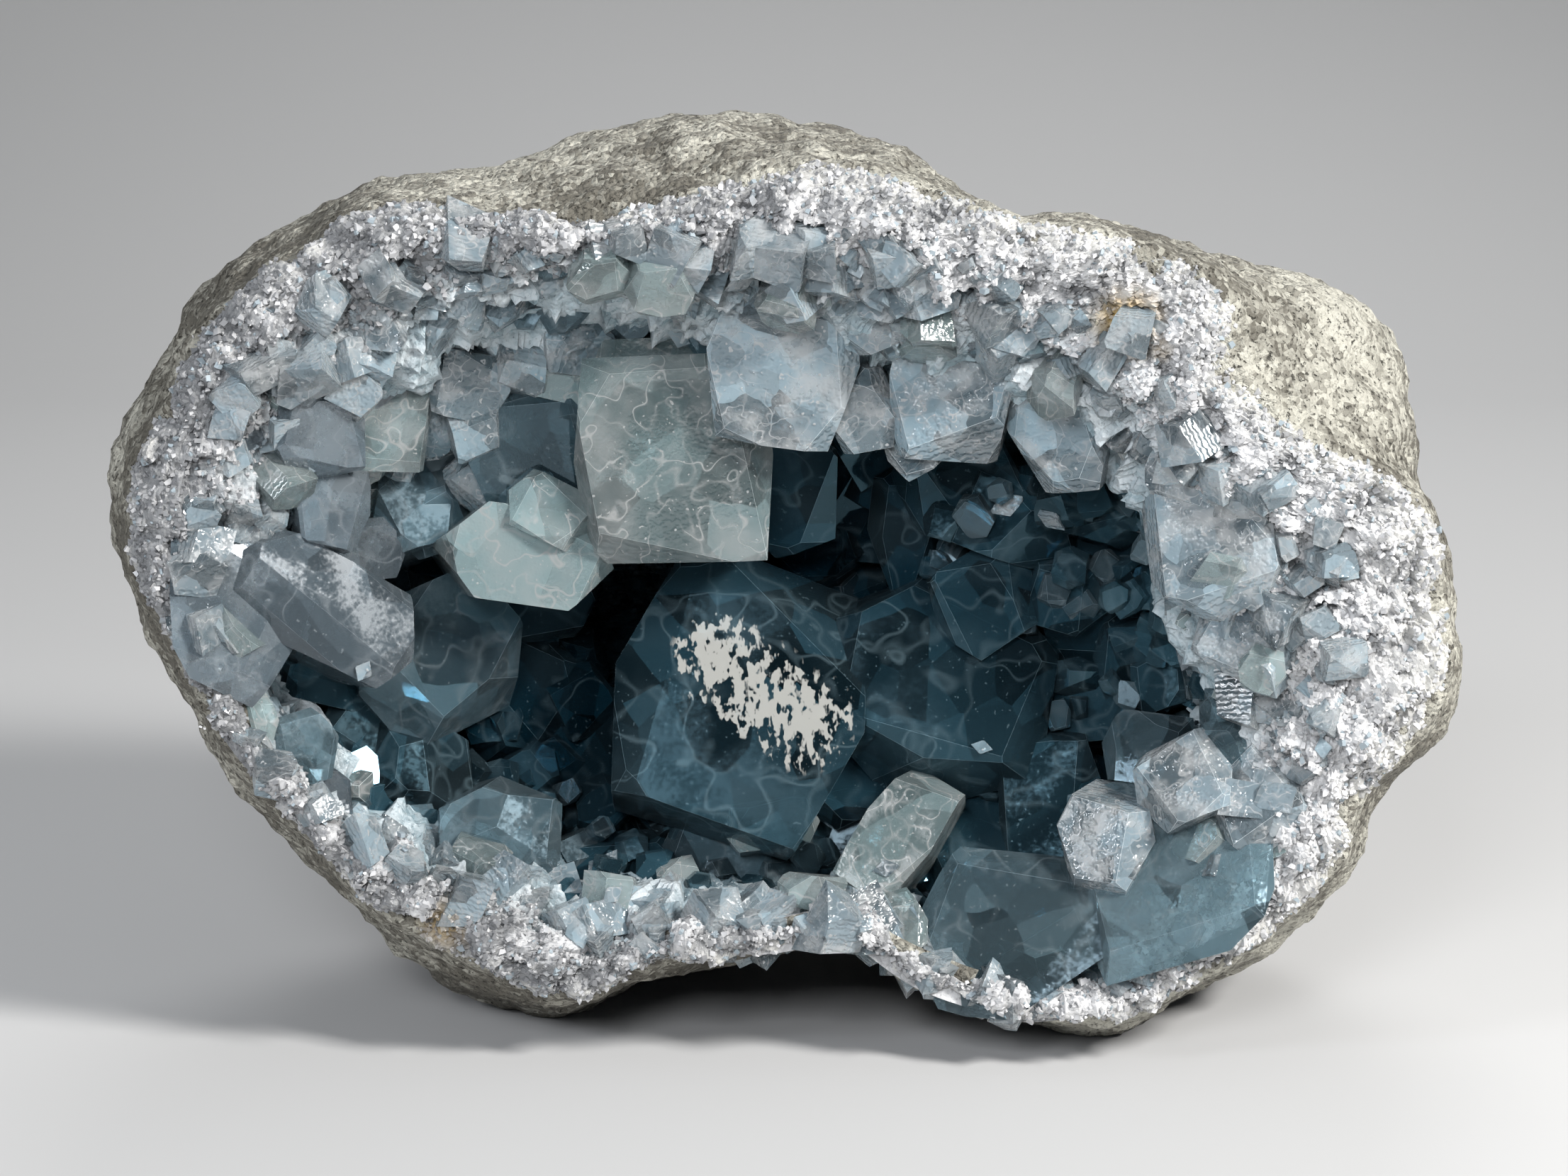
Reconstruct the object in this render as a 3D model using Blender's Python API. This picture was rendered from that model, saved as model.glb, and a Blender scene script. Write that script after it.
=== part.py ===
"""Celestite geode, standing on two low feet with its hollow facing -Y.

The stone is one closed surface, a grid of rows round the sight line: it starts at the back, runs
over the weathered skin, across the broken rim and down the hollow's wall. The blue crystals that
line the hollow are one crust: a thin lining with every crystal grown out of it.

Lengths are in millimetres as the stone is seen from the front, a little above its middle, and
become metres when a place is worked out. +X is right, +Y away from the viewer, +Z up.
"""

import math
from itertools import product

import bmesh
import bpy
import numpy as np
from mathutils import Matrix

MM = 0.001

# Where the stone is seen from: places across it are read on a plane through FOCUS, facing the eye.
SIGHT_DROP = math.radians(12)
FOCUS = np.array([0.0, 0.0, 72.9])
SIGHT_DISTANCE = 620.0
SIGHT = np.array([0.0, math.cos(SIGHT_DROP), -math.sin(SIGHT_DROP)])
SEEN_UP = np.array([0.0, math.sin(SIGHT_DROP), math.cos(SIGHT_DROP)])
SEEN_RIGHT = np.array([1.0, 0.0, 0.0])
EYE = FOCUS - SIGHT * SIGHT_DISTANCE

# Where the part's own origin lies: on the ground, below the middle of its box.
ORIGIN = np.array([0.831, 31.246, 0.0])

# The middle that every loop below is measured round, as (right, up).
MIDDLE = np.array([0.0, 3.0])

# The stone's outline, anticlockwise from the right, as (right, up) from FOCUS.
OUTLINE = (
    (105, -3), (102, 12), (99, 18), (99, 27), (97, 37), (93, 44), (83, 50), (70, 54), (57, 56),
    (44, 58), (37, 59), (27, 63), (18, 68), (13, 70), (-1, 74), (-11, 75), (-22, 74), (-34, 70.5),
    (-45, 67), (-61, 64), (-77, 57), (-90, 47), (-98, 33), (-105, 19), (-105, 9), (-102, -2),
    (-93, -17), (-85, -31), (-75, -42), (-61, -55), (-51, -63), (-40, -67), (-35, -67.5),
    (-28, -65), (-17, -61), (-7, -58), (8, -56), (14, -57), (20, -63), (28, -65), (40, -68.5),
    (50, -71.5), (56, -68.5), (67, -62), (82, -52), (91, -43), (94, -31), (103, -20),
)

# Where the weathered skin ends and the broken, sugary rim begins.
SKIN_EDGE = (
    (102, -3), (99, 11), (84, 22), (71, 31), (67, 48), (52, 53), (37, 56.5), (22, 61), (8, 66),
    (-12, 62), (-34, 58), (-46, 59), (-60, 60), (-76, 52), (-89, 43), (-96, 32), (-101, 19),
    (-102, 9), (-99, -2), (-90, -17), (-82, -30), (-72, -41), (-59, -52), (-46, -59), (-34, -63),
    (-17, -57.5), (-2, -56), (10, -55), (20, -60), (40, -66), (52, -67), (70, -58), (87, -44),
    (91, -32), (100, -19),
)

# The hollow's mouth, where the rim turns inwards.
MOUTH = (
    (66, -8), (64, 9), (57, 21), (45, 31), (31, 38), (14, 43), (-3, 45), (-20, 48), (-40, 48),
    (-55, 43), (-68, 31), (-80, 14), (-86, -2), (-84, -16), (-76, -28), (-66, -38), (-52, -43),
    (-38, -48), (-22, -50), (-4, -50.5), (13, -51), (28, -60), (44, -61), (58, -52), (68, -36),
    (72, -20),
)

# How far each station of the surface lies behind FOCUS, from the back to the hollow's end.
BACK_END, BACK_CAP, BACK_SHOULDER, BACK_FLANK, GIRDLE, BROW = 85, 81, 64, 38, 12, -6
SKIN_EDGE_AT, RIM_CREST, MOUTH_AT = -16, -19, -9
THROAT, HOLLOW, HOLLOW_FLOOR, HOLLOW_END = 12, 34, 53, 59

# The two feet and the arch between them, behind the girdle, as (direction round the middle in
# degrees, width in degrees, fullness).
UNDERSIDE = ((-116, 13, 0.03), (-57, 12, 0.01), (-84, 13, -0.12))

ROUND = 60
ROWS = 26

STONE_COLOUR = (0.56, 0.53, 0.47, 1)
CRYSTAL_COLOUR = (0.34, 0.48, 0.54, 1)

# Crystals that catch the eye, each a six-sided prism that points out of the wall:
# (right, up, behind FOCUS) of its end face, (width, height) as seen, roll in degrees, length,
# share of the width left at the end face, and squareness from 0 (pointed sides) to 1 (a block).
CRYSTALS = {
    "pale_keystone": (-17, 20, -4, 29, 30, 2, 44, 0.82, 0.88),
    "keystone_back": (-1, 18, 14, 17, 22, 20, 30, 0.6, 0.5),
    "upper_left_block": (-61, 28, -3, 12, 18, -4, 30, 0.75, 0.9),
    "green_wedge": (-49, 36, 8, 15, 18, -12, 28, 0.5, 0.5),
    "blue_hexagon": (-39, 22, 2, 19, 16, 4, 32, 0.72, 0.7),
    "dusky_pair_left": (-34, 43, 16, 15, 12, 24, 22, 0.5, 0.6),
    "dusky_pair_right": (-27, 39, 13, 10, 11, -10, 22, 0.5, 0.7),
    "striped_wedge": (-34, 38, 9, 13, 8, 12, 20, 0.3, 0.5),
    "glassy_finger": (-35, 33, 2, 16, 7, -14, 24, 0.7, 0.6),
    "smooth_dome": (-13, 46, 0, 17, 16, 8, 24, 0.55, 0.5),
    "flat_bar": (-18, 36, 1, 22, 6, 2, 24, 0.8, 0.9),
    "frosted_block": (0, 36, -8, 21, 25, -8, 34, 0.72, 0.75),
    "striated_cube": (11, 43, -8, 12, 12, 24, 22, 0.6, 0.8),
    "frosted_small": (12, 28, -4, 10, 12, 10, 24, 0.6, 0.7),
    "frosted_broad": (26, 32, -6, 17, 22, -6, 34, 0.74, 0.85),
    "under_frost": (20, 22, -2, 8, 8, 30, 20, 0.6, 0.7),
    "bright_egg": (43, 26, -7, 15, 20, 8, 30, 0.62, 0.55),
    "egg_neighbour": (54, 23, -3, 9, 9, 10, 24, 0.7, 0.7),
    "frosted_tooth": (63, 23, -13, 12, 17, -10, 28, 0.6, 0.7),
    "right_slab": (66, 7, -16, 20, 20, 32, 30, 0.66, 0.6),
    "right_lower_slab": (72, -6, -16, 18, 14, -30, 26, 0.6, 0.6),
    "pale_underblock": (-42, 5, -3, 26, 12, 4, 34, 0.8, 0.85),
    "striated_blade": (-36, 12, -3, 14, 9, -26, 24, 0.6, 0.7),
    "smoky_left_low": (-65, 6, -3, 13, 9, 6, 22, 0.6, 0.6),
    "smoky_left_high": (-70, 13, -9, 12, 13, -16, 22, 0.6, 0.6),
    "blue_left_low": (-54, 12, 4, 15, 11, 18, 24, 0.5, 0.6),
    "blue_left_high": (-53, 20, 8, 10, 11, -20, 24, 0.5, 0.6),
    "grey_shoulder": (-72, 24, -13, 14, 14, 14, 22, 0.55, 0.7),
    "grey_shoulder_high": (-74, 34, -16, 13, 10, -20, 20, 0.5, 0.7),
    "grey_green_knob": (-56, 44, -7, 10, 11, 10, 22, 0.5, 0.6),
    "smoky_plate": (-80, -4, -14, 42, 20, -12, 34, 0.8, 0.35),
    "blue_boulder": (-53, -11, 4, 25, 21, 24, 36, 0.6, 0.7),
    "boulder_shadow": (-40, -14, 20, 18, 19, -8, 28, 0.5, 0.5),
    "shadow_upper": (-40, -1, 20, 21, 13, 6, 24, 0.6, 0.6),
    "ringed_crystal": (-75, -25, -13, 11, 10, 20, 20, 0.6, 0.5),
    "rim_knob_left": (-84, -21, -17, 10, 10, 6, 18, 0.55, 0.6),
    "dark_left_high": (-71, -13, 2, 17, 9, -10, 22, 0.55, 0.6),
    "dark_left_mid": (-66, -21, 3, 11, 9, 22, 22, 0.6, 0.5),
    "dark_left_slab": (-57, -28, 0, 18, 14, -22, 26, 0.5, 0.6),
    "dark_left_low": (-61, -36, -3, 14, 11, 16, 24, 0.5, 0.7),
    "grey_left_low": (-73, -33, -12, 12, 9, 32, 20, 0.5, 0.6),
    "pale_green_block": (-44, -39, -5, 19, 17, 8, 26, 0.7, 0.8),
    "lip_wedge": (-64, -46, -11, 7, 11, -8, 16, 0.5, 0.6),
    "deep_hexagon": (-29, -30, 18, 25, 28, -6, 34, 0.62, 0.62),
    "dark_floor": (-26, -44, 4, 20, 12, 4, 22, 0.6, 0.6),
    "bright_chip_left": (-20, -49, -4, 10, 7, 30, 16, 0.5, 0.6),
    "great_block": (-7, -17, 3, 34, 38, -16, 46, 0.66, 0.72),
    "violet_block": (-11, -44, 3, 17, 10, -8, 22, 0.6, 0.8),
    "small_green_post": (-16, -47, -3, 7, 10, 14, 18, 0.6, 0.8),
    "floor_chip": (-5, -51, -6, 13, 7, -6, 16, 0.5, 0.6),
    "lit_facet": (-2, -37, 1, 15, 7, 8, 20, 0.7, 0.7),
    "great_blue": (24, -15, 6, 31, 30, 14, 44, 0.58, 0.6),
    "deep_dome": (3, 3, 34, 20, 22, 10, 22, 0.5, 0.55),
    "blue_eave": (27, 16, 11, 20, 14, -8, 28, 0.66, 0.5),
    "blue_eave_low": (33, 11, 8, 23, 10, -22, 26, 0.4, 0.6),
    "blue_post": (19, 10, 18, 11, 17, 8, 24, 0.5, 0.6),
    "tall_plane": (52, 5, 13, 24, 29, 4, 34, 0.75, 0.75),
    "plane_foot": (42, -1, 8, 15, 9, -16, 26, 0.5, 0.6),
    "bright_edge": (31, -2, 7, 15, 13, 34, 28, 0.5, 0.6),
    "wedge_high": (55, -10, 5, 16, 9, -12, 24, 0.4, 0.5),
    "wedge_mid": (59, -14, 1, 13, 8, 20, 22, 0.4, 0.5),
    "wedge_right": (65, -9, 1, 10, 15, -14, 22, 0.4, 0.5),
    "wedge_rim": (70, -18, -9, 12, 10, 24, 20, 0.5, 0.5),
    "rusty_shadow": (49, -18, 7, 20, 10, 4, 26, 0.6, 0.6),
    "slanted_blade": (18, -38, -4, 11, 21, -36, 26, 0.8, 0.8),
    "blade_back": (30, -39, 5, 16, 17, -20, 26, 0.6, 0.6),
    "violet_plane": (43, -35, 1, 15, 21, 8, 26, 0.75, 0.75),
    "low_dome": (35, -54, -14, 30, 24, -8, 26, 0.62, 0.55),
    "frosted_boulder": (60, -44, -15, 27, 25, 12, 26, 0.68, 0.8),
    "boulder_face": (55, -40, -18, 14, 11, -12, 24, 0.7, 0.8),
    "ridge_left": (57, -25, -5, 15, 10, -10, 22, 0.55, 0.7),
    "ridge_right": (62, -32, -9, 13, 9, 24, 20, 0.55, 0.7),
    "rim_frost": (73, -31, -16, 16, 17, 30, 22, 0.6, 0.7),
    "rim_chip": (68, -25, -12, 9, 8, 10, 18, 0.5, 0.6),
    "clear_nub": (18, -53, -12, 9, 12, 14, 14, 0.5, 0.6),
    "green_floor": (8, -41, 8, 14, 17, -6, 22, 0.7, 0.7),
    "dark_gap": (10, -30, 8, 14, 11, 24, 22, 0.5, 0.6),
    "foot_chip": (58, -61, -12, 12, 7, 6, 14, 0.5, 0.6),
}
HERO_LEAN = 0.35  # degrees a crystal leans in towards the middle for each millimetre it is from it

RIM_FILLERS = 15  # smaller crystals on the rim's inner slope
WALL_FILLERS = 9  # and on the hollow's wall, between the others
FILLER_SEED = 11

LINING = 4.0  # how thick the crust is between its crystals
CLEARANCE = 0.35  # the crust stays this far off the stone
FLOOR_CLEARANCE = 1.2  # and this far above what the stone stands on


def clear_scene():
    for obj in list(bpy.data.objects):
        bpy.data.objects.remove(obj, do_unlink=True)


def to_part(place):
    """A place, or many, in the part's own frame and in metres."""
    return (place - ORIGIN) * MM


def as_seen(right, up, behind):
    """World places, in mm, of points seen at (right, up) that lie that far behind FOCUS."""
    right, up, behind = np.broadcast_arrays(right, up, behind)
    on_plane = FOCUS + right[..., None] * SEEN_RIGHT + up[..., None] * SEEN_UP
    ray = on_plane - EYE
    reach = (behind - EYE[1]) / ray[..., 1]
    return EYE + ray * reach[..., None]


def loop_radius(points, turn):
    """Distance from MIDDLE at each angle of turn: a cubic through the points, closed on itself."""
    across = np.array(points, float) - MIDDLE
    angle = np.arctan2(across[:, 1], across[:, 0])
    radius = np.hypot(across[:, 0], across[:, 1])
    order = np.argsort(angle)
    angle, radius = angle[order], radius[order]
    angle = np.concatenate([angle[-2:] - 2 * np.pi, angle, angle[:2] + 2 * np.pi])
    radius = np.concatenate([radius[-2:], radius, radius[:2]])
    return hermite(angle, radius, (turn + np.pi) % (2 * np.pi) - np.pi)


def hermite(knots, values, at):
    """A smooth cubic through values (one row for each knot) read at the places at."""
    slopes = np.gradient(values, knots, axis=0)
    low = np.clip(np.searchsorted(knots, at, side="right") - 1, 0, len(knots) - 2)
    step = knots[low + 1] - knots[low]
    t = (at - knots[low]) / step
    if values.ndim == 2:
        step, t = step[:, None], t[:, None]
    t2, t3 = t * t, t * t * t
    return (
        (2 * t3 - 3 * t2 + 1) * values[low]
        + (t3 - 2 * t2 + t) * step * slopes[low]
        + (3 * t2 - 2 * t3) * values[low + 1]
        + (t3 - t2) * step * slopes[low + 1]
    )


def scrambled(cells, salt):
    """A number from -1 to 1 for each whole-numbered cell, the same on every run."""
    x, y, z = (cells[..., i].astype(np.uint64) for i in range(3))
    mixed = x * np.uint64(73856093) ^ y * np.uint64(19349663) ^ z * np.uint64(83492791)
    mixed ^= np.uint64(salt * 2654435761)
    mixed = (mixed ^ (mixed >> np.uint64(15))) * np.uint64(2246822519)
    mixed = (mixed ^ (mixed >> np.uint64(13))) * np.uint64(3266489917)
    return (mixed >> np.uint64(11) & np.uint64(0xFFFF)).astype(float) / 32767.5 - 1


def lumps(places, size, salt):
    """Smooth gradient noise, about -1 to 1, with lumps of that size in mm."""
    scaled = places / size + 100.0
    cell = np.floor(scaled).astype(np.int64)
    inside = scaled - cell
    ease = inside * inside * inside * (inside * (inside * 6 - 15) + 10)
    total = np.zeros(places.shape[:-1])
    for corner in product((0, 1), repeat=3):
        offset = np.array(corner)
        slope = np.stack([scrambled(cell + offset, salt + k) for k in range(3)], axis=-1)
        weight = np.where(offset == 1, ease, 1 - ease).prod(axis=-1)
        total += weight * ((inside - offset) * slope).sum(axis=-1)
    return total * 1.6


def stations(turn):
    """Radius as seen and depth of each station of the stone's surface, for every angle of turn."""
    outline = loop_radius(OUTLINE, turn)
    skin = loop_radius(SKIN_EDGE, turn)
    mouth = loop_radius(MOUTH, turn)
    soft = sum(loop_radius(OUTLINE, turn + step) for step in np.radians(range(-50, 51, 10))) / 11
    degrees = np.degrees(turn)
    fuller = 1 + sum(
        fullness * np.exp(-((((degrees - middle + 180) % 360 - 180) / width) ** 2))
        for middle, width, fullness in UNDERSIDE
    )
    nothing = np.zeros_like(turn)
    radii = [
        nothing, 0.41 * soft, (0.55 * soft + 0.2 * outline) * fuller, 0.92 * outline * fuller, outline,
        (outline + skin) / 2, skin, 0.62 * skin + 0.38 * mouth, mouth,
        mouth, 0.93 * mouth, 0.58 * mouth, nothing,
    ]
    depths = [
        BACK_END, BACK_CAP, BACK_SHOULDER, BACK_FLANK, GIRDLE, BROW,
        SKIN_EDGE_AT, RIM_CREST, MOUTH_AT, THROAT, HOLLOW, HOLLOW_FLOOR, HOLLOW_END,
    ]
    return np.array(radii), np.array(depths, float)


MOUTH_STATION, END_STATION = 8, 12


def surface(turn, row):
    """Smooth places, in mm, of the stone's surface: one row of points for each station in row."""
    radii, depths = stations(turn)
    knots = np.arange(len(depths), dtype=float)
    radius = np.maximum(hermite(knots, radii, row), 0)
    depth = hermite(knots, depths, row)[:, None]
    right = MIDDLE[0] + radius * np.cos(turn)
    up = MIDDLE[1] + radius * np.sin(turn)
    return as_seen(right, up, depth)


def outward(grid):
    """Unit normals of a grid that is closed round its second direction."""
    along = np.gradient(grid, axis=0)
    around = np.roll(grid, -1, axis=1) - np.roll(grid, 1, axis=1)
    normal = np.cross(around, along)
    return normal / np.maximum(np.linalg.norm(normal, axis=-1, keepdims=True), 1e-9)


def stone_rows():
    """Stations of the grid's rows, close together where the surface turns."""
    return np.interp(
        np.linspace(0, 1, ROWS),
        [0, 0.38, 0.56, 0.8, 1],
        [0, 4, 6, MOUTH_STATION, END_STATION],
    )


def stone_grid():
    """The stone's surface with its lumps, ledges and pits, flattened where it stands."""
    turn = np.linspace(0, 2 * np.pi, ROUND, endpoint=False)
    row = stone_rows()
    grid = surface(turn, row)
    normal = outward(grid)
    normal[0], normal[-1] = normal[1].mean(axis=0), normal[-2].mean(axis=0)
    skin = np.clip((7.0 - row) / 1.5, 0, 1)[:, None]
    swell = 2.2 * lumps(grid, 34, 1) + 1.3 * lumps(grid, 15, 5)
    crumble = 1.7 * lumps(grid, 16, 9)
    grid = grid + normal * (skin * swell + (1 - skin) * crumble)[..., None]
    grid[0], grid[-1] = grid[0].mean(axis=0), grid[-1].mean(axis=0)
    grid[..., 2] = np.maximum(grid[..., 2], 0)
    return grid


def closed_mesh(name, grid):
    """A mesh of a grid that is closed round, with its first and last rows drawn to a point."""
    mesh = bmesh.new()
    grid = to_part(grid)
    first = mesh.verts.new(grid[0, 0])
    last = mesh.verts.new(grid[-1, 0])
    rings = [[mesh.verts.new(p) for p in ring] for ring in grid[1:-1]]
    count = grid.shape[1]
    for j in range(count):
        k = (j + 1) % count
        mesh.faces.new((first, rings[0][k], rings[0][j]))
        mesh.faces.new((last, rings[-1][j], rings[-1][k]))
        for low, high in zip(rings, rings[1:]):
            mesh.faces.new((low[j], low[k], high[k], high[j]))
    bmesh.ops.triangulate(mesh, faces=mesh.faces)
    bmesh.ops.recalc_face_normals(mesh, faces=mesh.faces)
    data = bpy.data.meshes.new(name)
    mesh.to_mesh(data)
    mesh.free()
    return data


def add_object(name, data, helper=False):
    obj = bpy.data.objects.new(name, data)
    bpy.context.scene.collection.objects.link(obj)
    if helper:
        obj.hide_render = True
        obj.display_type = "WIRE"
    return obj


def finish_material(name, colour, roughness):
    material = bpy.data.materials.new(name)
    material.use_nodes = True
    shader = material.node_tree.nodes["Principled BSDF"]
    shader.inputs["Base Color"].default_value = colour
    shader.inputs["Roughness"].default_value = roughness
    shader.inputs["Metallic"].default_value = 0.0
    return material


def lining_grid():
    """A thin skin of crystal over the rim's inner slope and the hollow's wall, thicker inside."""
    turn = np.linspace(0, 2 * np.pi, 28, endpoint=False)
    row = np.array([7.3, 7.7, 8.15, 8.7, 9.4, 10.2, 10.9, 11.5, END_STATION])
    wall = surface(turn, row)
    inward = -outward(wall)
    into_stone = wall + inward * 1.5
    thick = np.interp(row, [7.3, 8.3, 9.4], [1.5, 2.2, LINING])[:, None]
    rough = thick + 1.2 * lumps(wall, 8, 21)
    into_hollow = wall - inward * rough[..., None]
    for cup in (into_stone, into_hollow):
        cup[-1] = cup[-1].mean(axis=0)
    return into_stone, into_hollow


def lining_mesh():
    """The cup's two sides joined round the mouth."""
    outer, inner = lining_grid()
    both = np.concatenate([outer[::-1], inner])
    return closed_mesh("lining", both)


def turned(axis, vectors, degrees):
    """The vectors, turned about axis."""
    angle = math.radians(degrees)
    along = np.dot(vectors, axis)[..., None] * axis
    return (
        vectors * math.cos(angle)
        + np.cross(axis, vectors) * math.sin(angle)
        + along * (1 - math.cos(angle))
    )


def crystal_planes(size, length, end_share, pick, bevels):
    """Cutting planes of one crystal's end, as (point, normal) in its own frame, end face at 0.

    The end face leans a little, and each bevel starts a share of the way out along one side.
    """
    lean = np.radians(pick.uniform(-9, 9, 2))
    planes = [(np.zeros(3), np.array([math.sin(lean[0]), math.sin(lean[1]), 1.0]))]
    first = pick.uniform(-25, 25)
    for i in range(bevels):
        toward = math.radians(first + 90 * i + pick.uniform(-14, 14))
        across = np.array([math.cos(toward), math.sin(toward), 0.0])
        share = min(0.95, max(0.1, end_share + pick.uniform(-0.22, 0.16)))
        steep = math.radians(pick.uniform(36, 60))
        reach = np.abs(across[:2] * size / 2).sum()
        planes.append((across * share * reach, across * math.sin(steep) + (0, 0, math.cos(steep))))
    return planes


def crystal_mesh(name, tip, axes, size, length, end_share, squareness, pick, bevels=4):
    """A six-sided prism, (width, height) across, with its outer end cut back by flat faces."""
    corners = ((1, 0), (squareness, 1), (-squareness, 1), (-1, 0), (-squareness, -1), (squareness, -1))
    mesh = bmesh.new()
    back = [mesh.verts.new((x * size[0] * 0.42, y * size[1] * 0.42, -length)) for x, y in corners]
    ahead = [mesh.verts.new((x * size[0] * 0.5, y * size[1] * 0.5, 3.0)) for x, y in corners]
    mesh.faces.new(back[::-1])
    mesh.faces.new(ahead)
    for j in range(6):
        k = (j + 1) % 6
        mesh.faces.new((back[j], back[k], ahead[k], ahead[j]))
    for point, normal in crystal_planes(np.array(size), length, end_share, pick, bevels):
        cut = bmesh.ops.bisect_plane(
            mesh, geom=mesh.verts[:] + mesh.edges[:] + mesh.faces[:], dist=1e-4,
            plane_co=point, plane_no=normal, clear_outer=True,
        )
        edges = [item for item in cut["geom_cut"] if isinstance(item, bmesh.types.BMEdge)]
        if edges:
            bmesh.ops.contextual_create(mesh, geom=edges)
    bmesh.ops.recalc_face_normals(mesh, faces=mesh.faces)
    place = Matrix.Identity(4)
    for i in range(3):
        place.col[i][:3] = axes[i] * MM
    place.translation = to_part(tip)
    mesh.transform(place)
    data = bpy.data.meshes.new(name)
    mesh.to_mesh(data)
    mesh.free()
    return data


def hero_crystals():
    """The named crystals, each leaning in towards the hollow's middle."""
    meshes = []
    for i, (name, row) in enumerate(CRYSTALS.items()):
        right, up, behind, width, height, roll, length, end_share, squareness = row
        axes = np.array([SEEN_RIGHT, SEEN_UP, -SIGHT])
        axes = turned(axes[2], axes, roll)
        axes = turned(SEEN_UP, axes, -HERO_LEAN * right)
        axes = turned(SEEN_RIGHT, axes, HERO_LEAN * (up - MIDDLE[1]))
        tip = as_seen(right, up, behind)
        pick = np.random.RandomState(100 + i)
        size = width, height
        bevels = 4 if min(size) > 13 else 3
        data = crystal_mesh(name, tip, axes, size, length, end_share, squareness, pick, bevels)
        meshes.append(data)
    return meshes


def filler_crystals():
    """Small crystals on the rim's inner slope and the wall, each standing nearly square to it."""
    pick = np.random.RandomState(FILLER_SEED)
    spots = RIM_FILLERS + WALL_FILLERS
    turn = np.arange(spots) * 2.39996 + pick.uniform(-0.3, 0.3, spots)
    row = np.where(
        np.arange(spots) < RIM_FILLERS,
        pick.uniform(MOUTH_STATION - 0.5, MOUTH_STATION + 0.1, spots),
        pick.uniform(MOUTH_STATION + 0.6, END_STATION - 1.0, spots),
    )
    meshes = []
    for i in range(spots):
        patch = surface(turn[i] + np.array([-0.04, 0, 0.04]), row[i] + np.array([-0.1, 0, 0.1]))
        ahead = outward(patch)[1, 1] + pick.uniform(-0.35, 0.35, 3)
        ahead /= np.linalg.norm(ahead)
        side = np.cross(ahead, pick.uniform(-1, 1, 3))
        side /= np.linalg.norm(side)
        axes = np.array([side, np.cross(ahead, side), ahead])
        width = pick.uniform(8, 13)
        size = width, width * pick.uniform(0.6, 1.0)
        stand = pick.uniform(4, 6) if i < RIM_FILLERS else LINING + pick.uniform(3, 7)
        tip = patch[1, 1] + ahead * stand
        end_share = pick.uniform(0.3, 0.7)
        data = crystal_mesh(f"filler_{i}", tip, axes, size, stand + 3, end_share, 0.6, pick, 2)
        meshes.append(data)
    return meshes


def boolean(obj, operation, other):
    modifier = obj.modifiers.new(operation.title(), "BOOLEAN")
    modifier.operation = operation
    modifier.solver = "EXACT"
    if isinstance(other, bpy.types.Collection):
        modifier.operand_type = "COLLECTION"
        modifier.collection = other
    else:
        modifier.object = other


def largest_body(obj):
    """Keeps the biggest connected piece of the object's evaluated mesh, without the cut's crumbs."""
    graph = bpy.context.evaluated_depsgraph_get()
    data = bpy.data.meshes.new_from_object(obj.evaluated_get(graph))
    mesh = bmesh.new()
    mesh.from_mesh(data)
    left = set(mesh.verts)
    bodies = []
    while left:
        front, body = [left.pop()], []
        while front:
            vert = front.pop()
            body.append(vert)
            for edge in vert.link_edges:
                other = edge.other_vert(vert)
                if other in left:
                    left.remove(other)
                    front.append(other)
        bodies.append(body)
    keep = max(bodies, key=len)
    crumbs = [vert for body in bodies if body is not keep for vert in body]
    bmesh.ops.delete(mesh, geom=crumbs, context="VERTS")
    mesh.to_mesh(data)
    mesh.free()
    obj.modifiers.clear()
    obj.data = data


def build_stone(grid):
    stone = add_object("matrix_shell", closed_mesh("matrix_shell", grid))
    stone.data.materials.append(finish_material("weathered_matrix", STONE_COLOUR, 0.85))
    return stone


def build_crust(grid):
    """Lining and crystals as one body, cut back from the stone and the ground."""
    crust = add_object("crystal_crust", lining_mesh())
    crystals = bpy.data.collections.new("crystal_blocks")
    bpy.context.scene.collection.children.link(crystals)
    crystals.hide_render = True
    for data in hero_crystals() + filler_crystals():
        obj = bpy.data.objects.new(data.name, data)
        obj.hide_render = True
        obj.display_type = "WIRE"
        crystals.objects.link(obj)

    grown = grid + outward(grid) * CLEARANCE
    grown[0], grown[-1] = grid[0] + (0, CLEARANCE, 0), grid[-1] - (0, CLEARANCE, 0)
    grown[..., 2] = np.where(grid[..., 2] <= 0, -CLEARANCE, grown[..., 2])
    cutter = add_object("stone_clearance", closed_mesh("stone_clearance", grown), helper=True)

    ground_data = bpy.data.meshes.new("ground_clearance")
    mesh = bmesh.new()
    bmesh.ops.create_cube(mesh, size=1.0)
    bmesh.ops.scale(mesh, vec=(0.4, 0.4, 0.04), verts=mesh.verts)
    bmesh.ops.translate(mesh, vec=(0, 0, FLOOR_CLEARANCE * MM - 0.02), verts=mesh.verts)
    mesh.to_mesh(ground_data)
    mesh.free()
    ground = add_object("ground_clearance", ground_data, helper=True)

    boolean(crust, "UNION", crystals)
    boolean(crust, "DIFFERENCE", cutter)
    boolean(crust, "DIFFERENCE", ground)
    bpy.context.view_layer.update()
    largest_body(crust)
    crust.data.materials.clear()
    crust.data.materials.append(finish_material("celestite", CRYSTAL_COLOUR, 0.2))
    return crust


def main():
    clear_scene()
    grid = stone_grid()
    build_stone(grid)
    build_crust(grid)


main()
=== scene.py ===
import math
from itertools import combinations, product

import bpy
import numpy as np
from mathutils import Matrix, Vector
from mathutils.bvhtree import BVHTree


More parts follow.
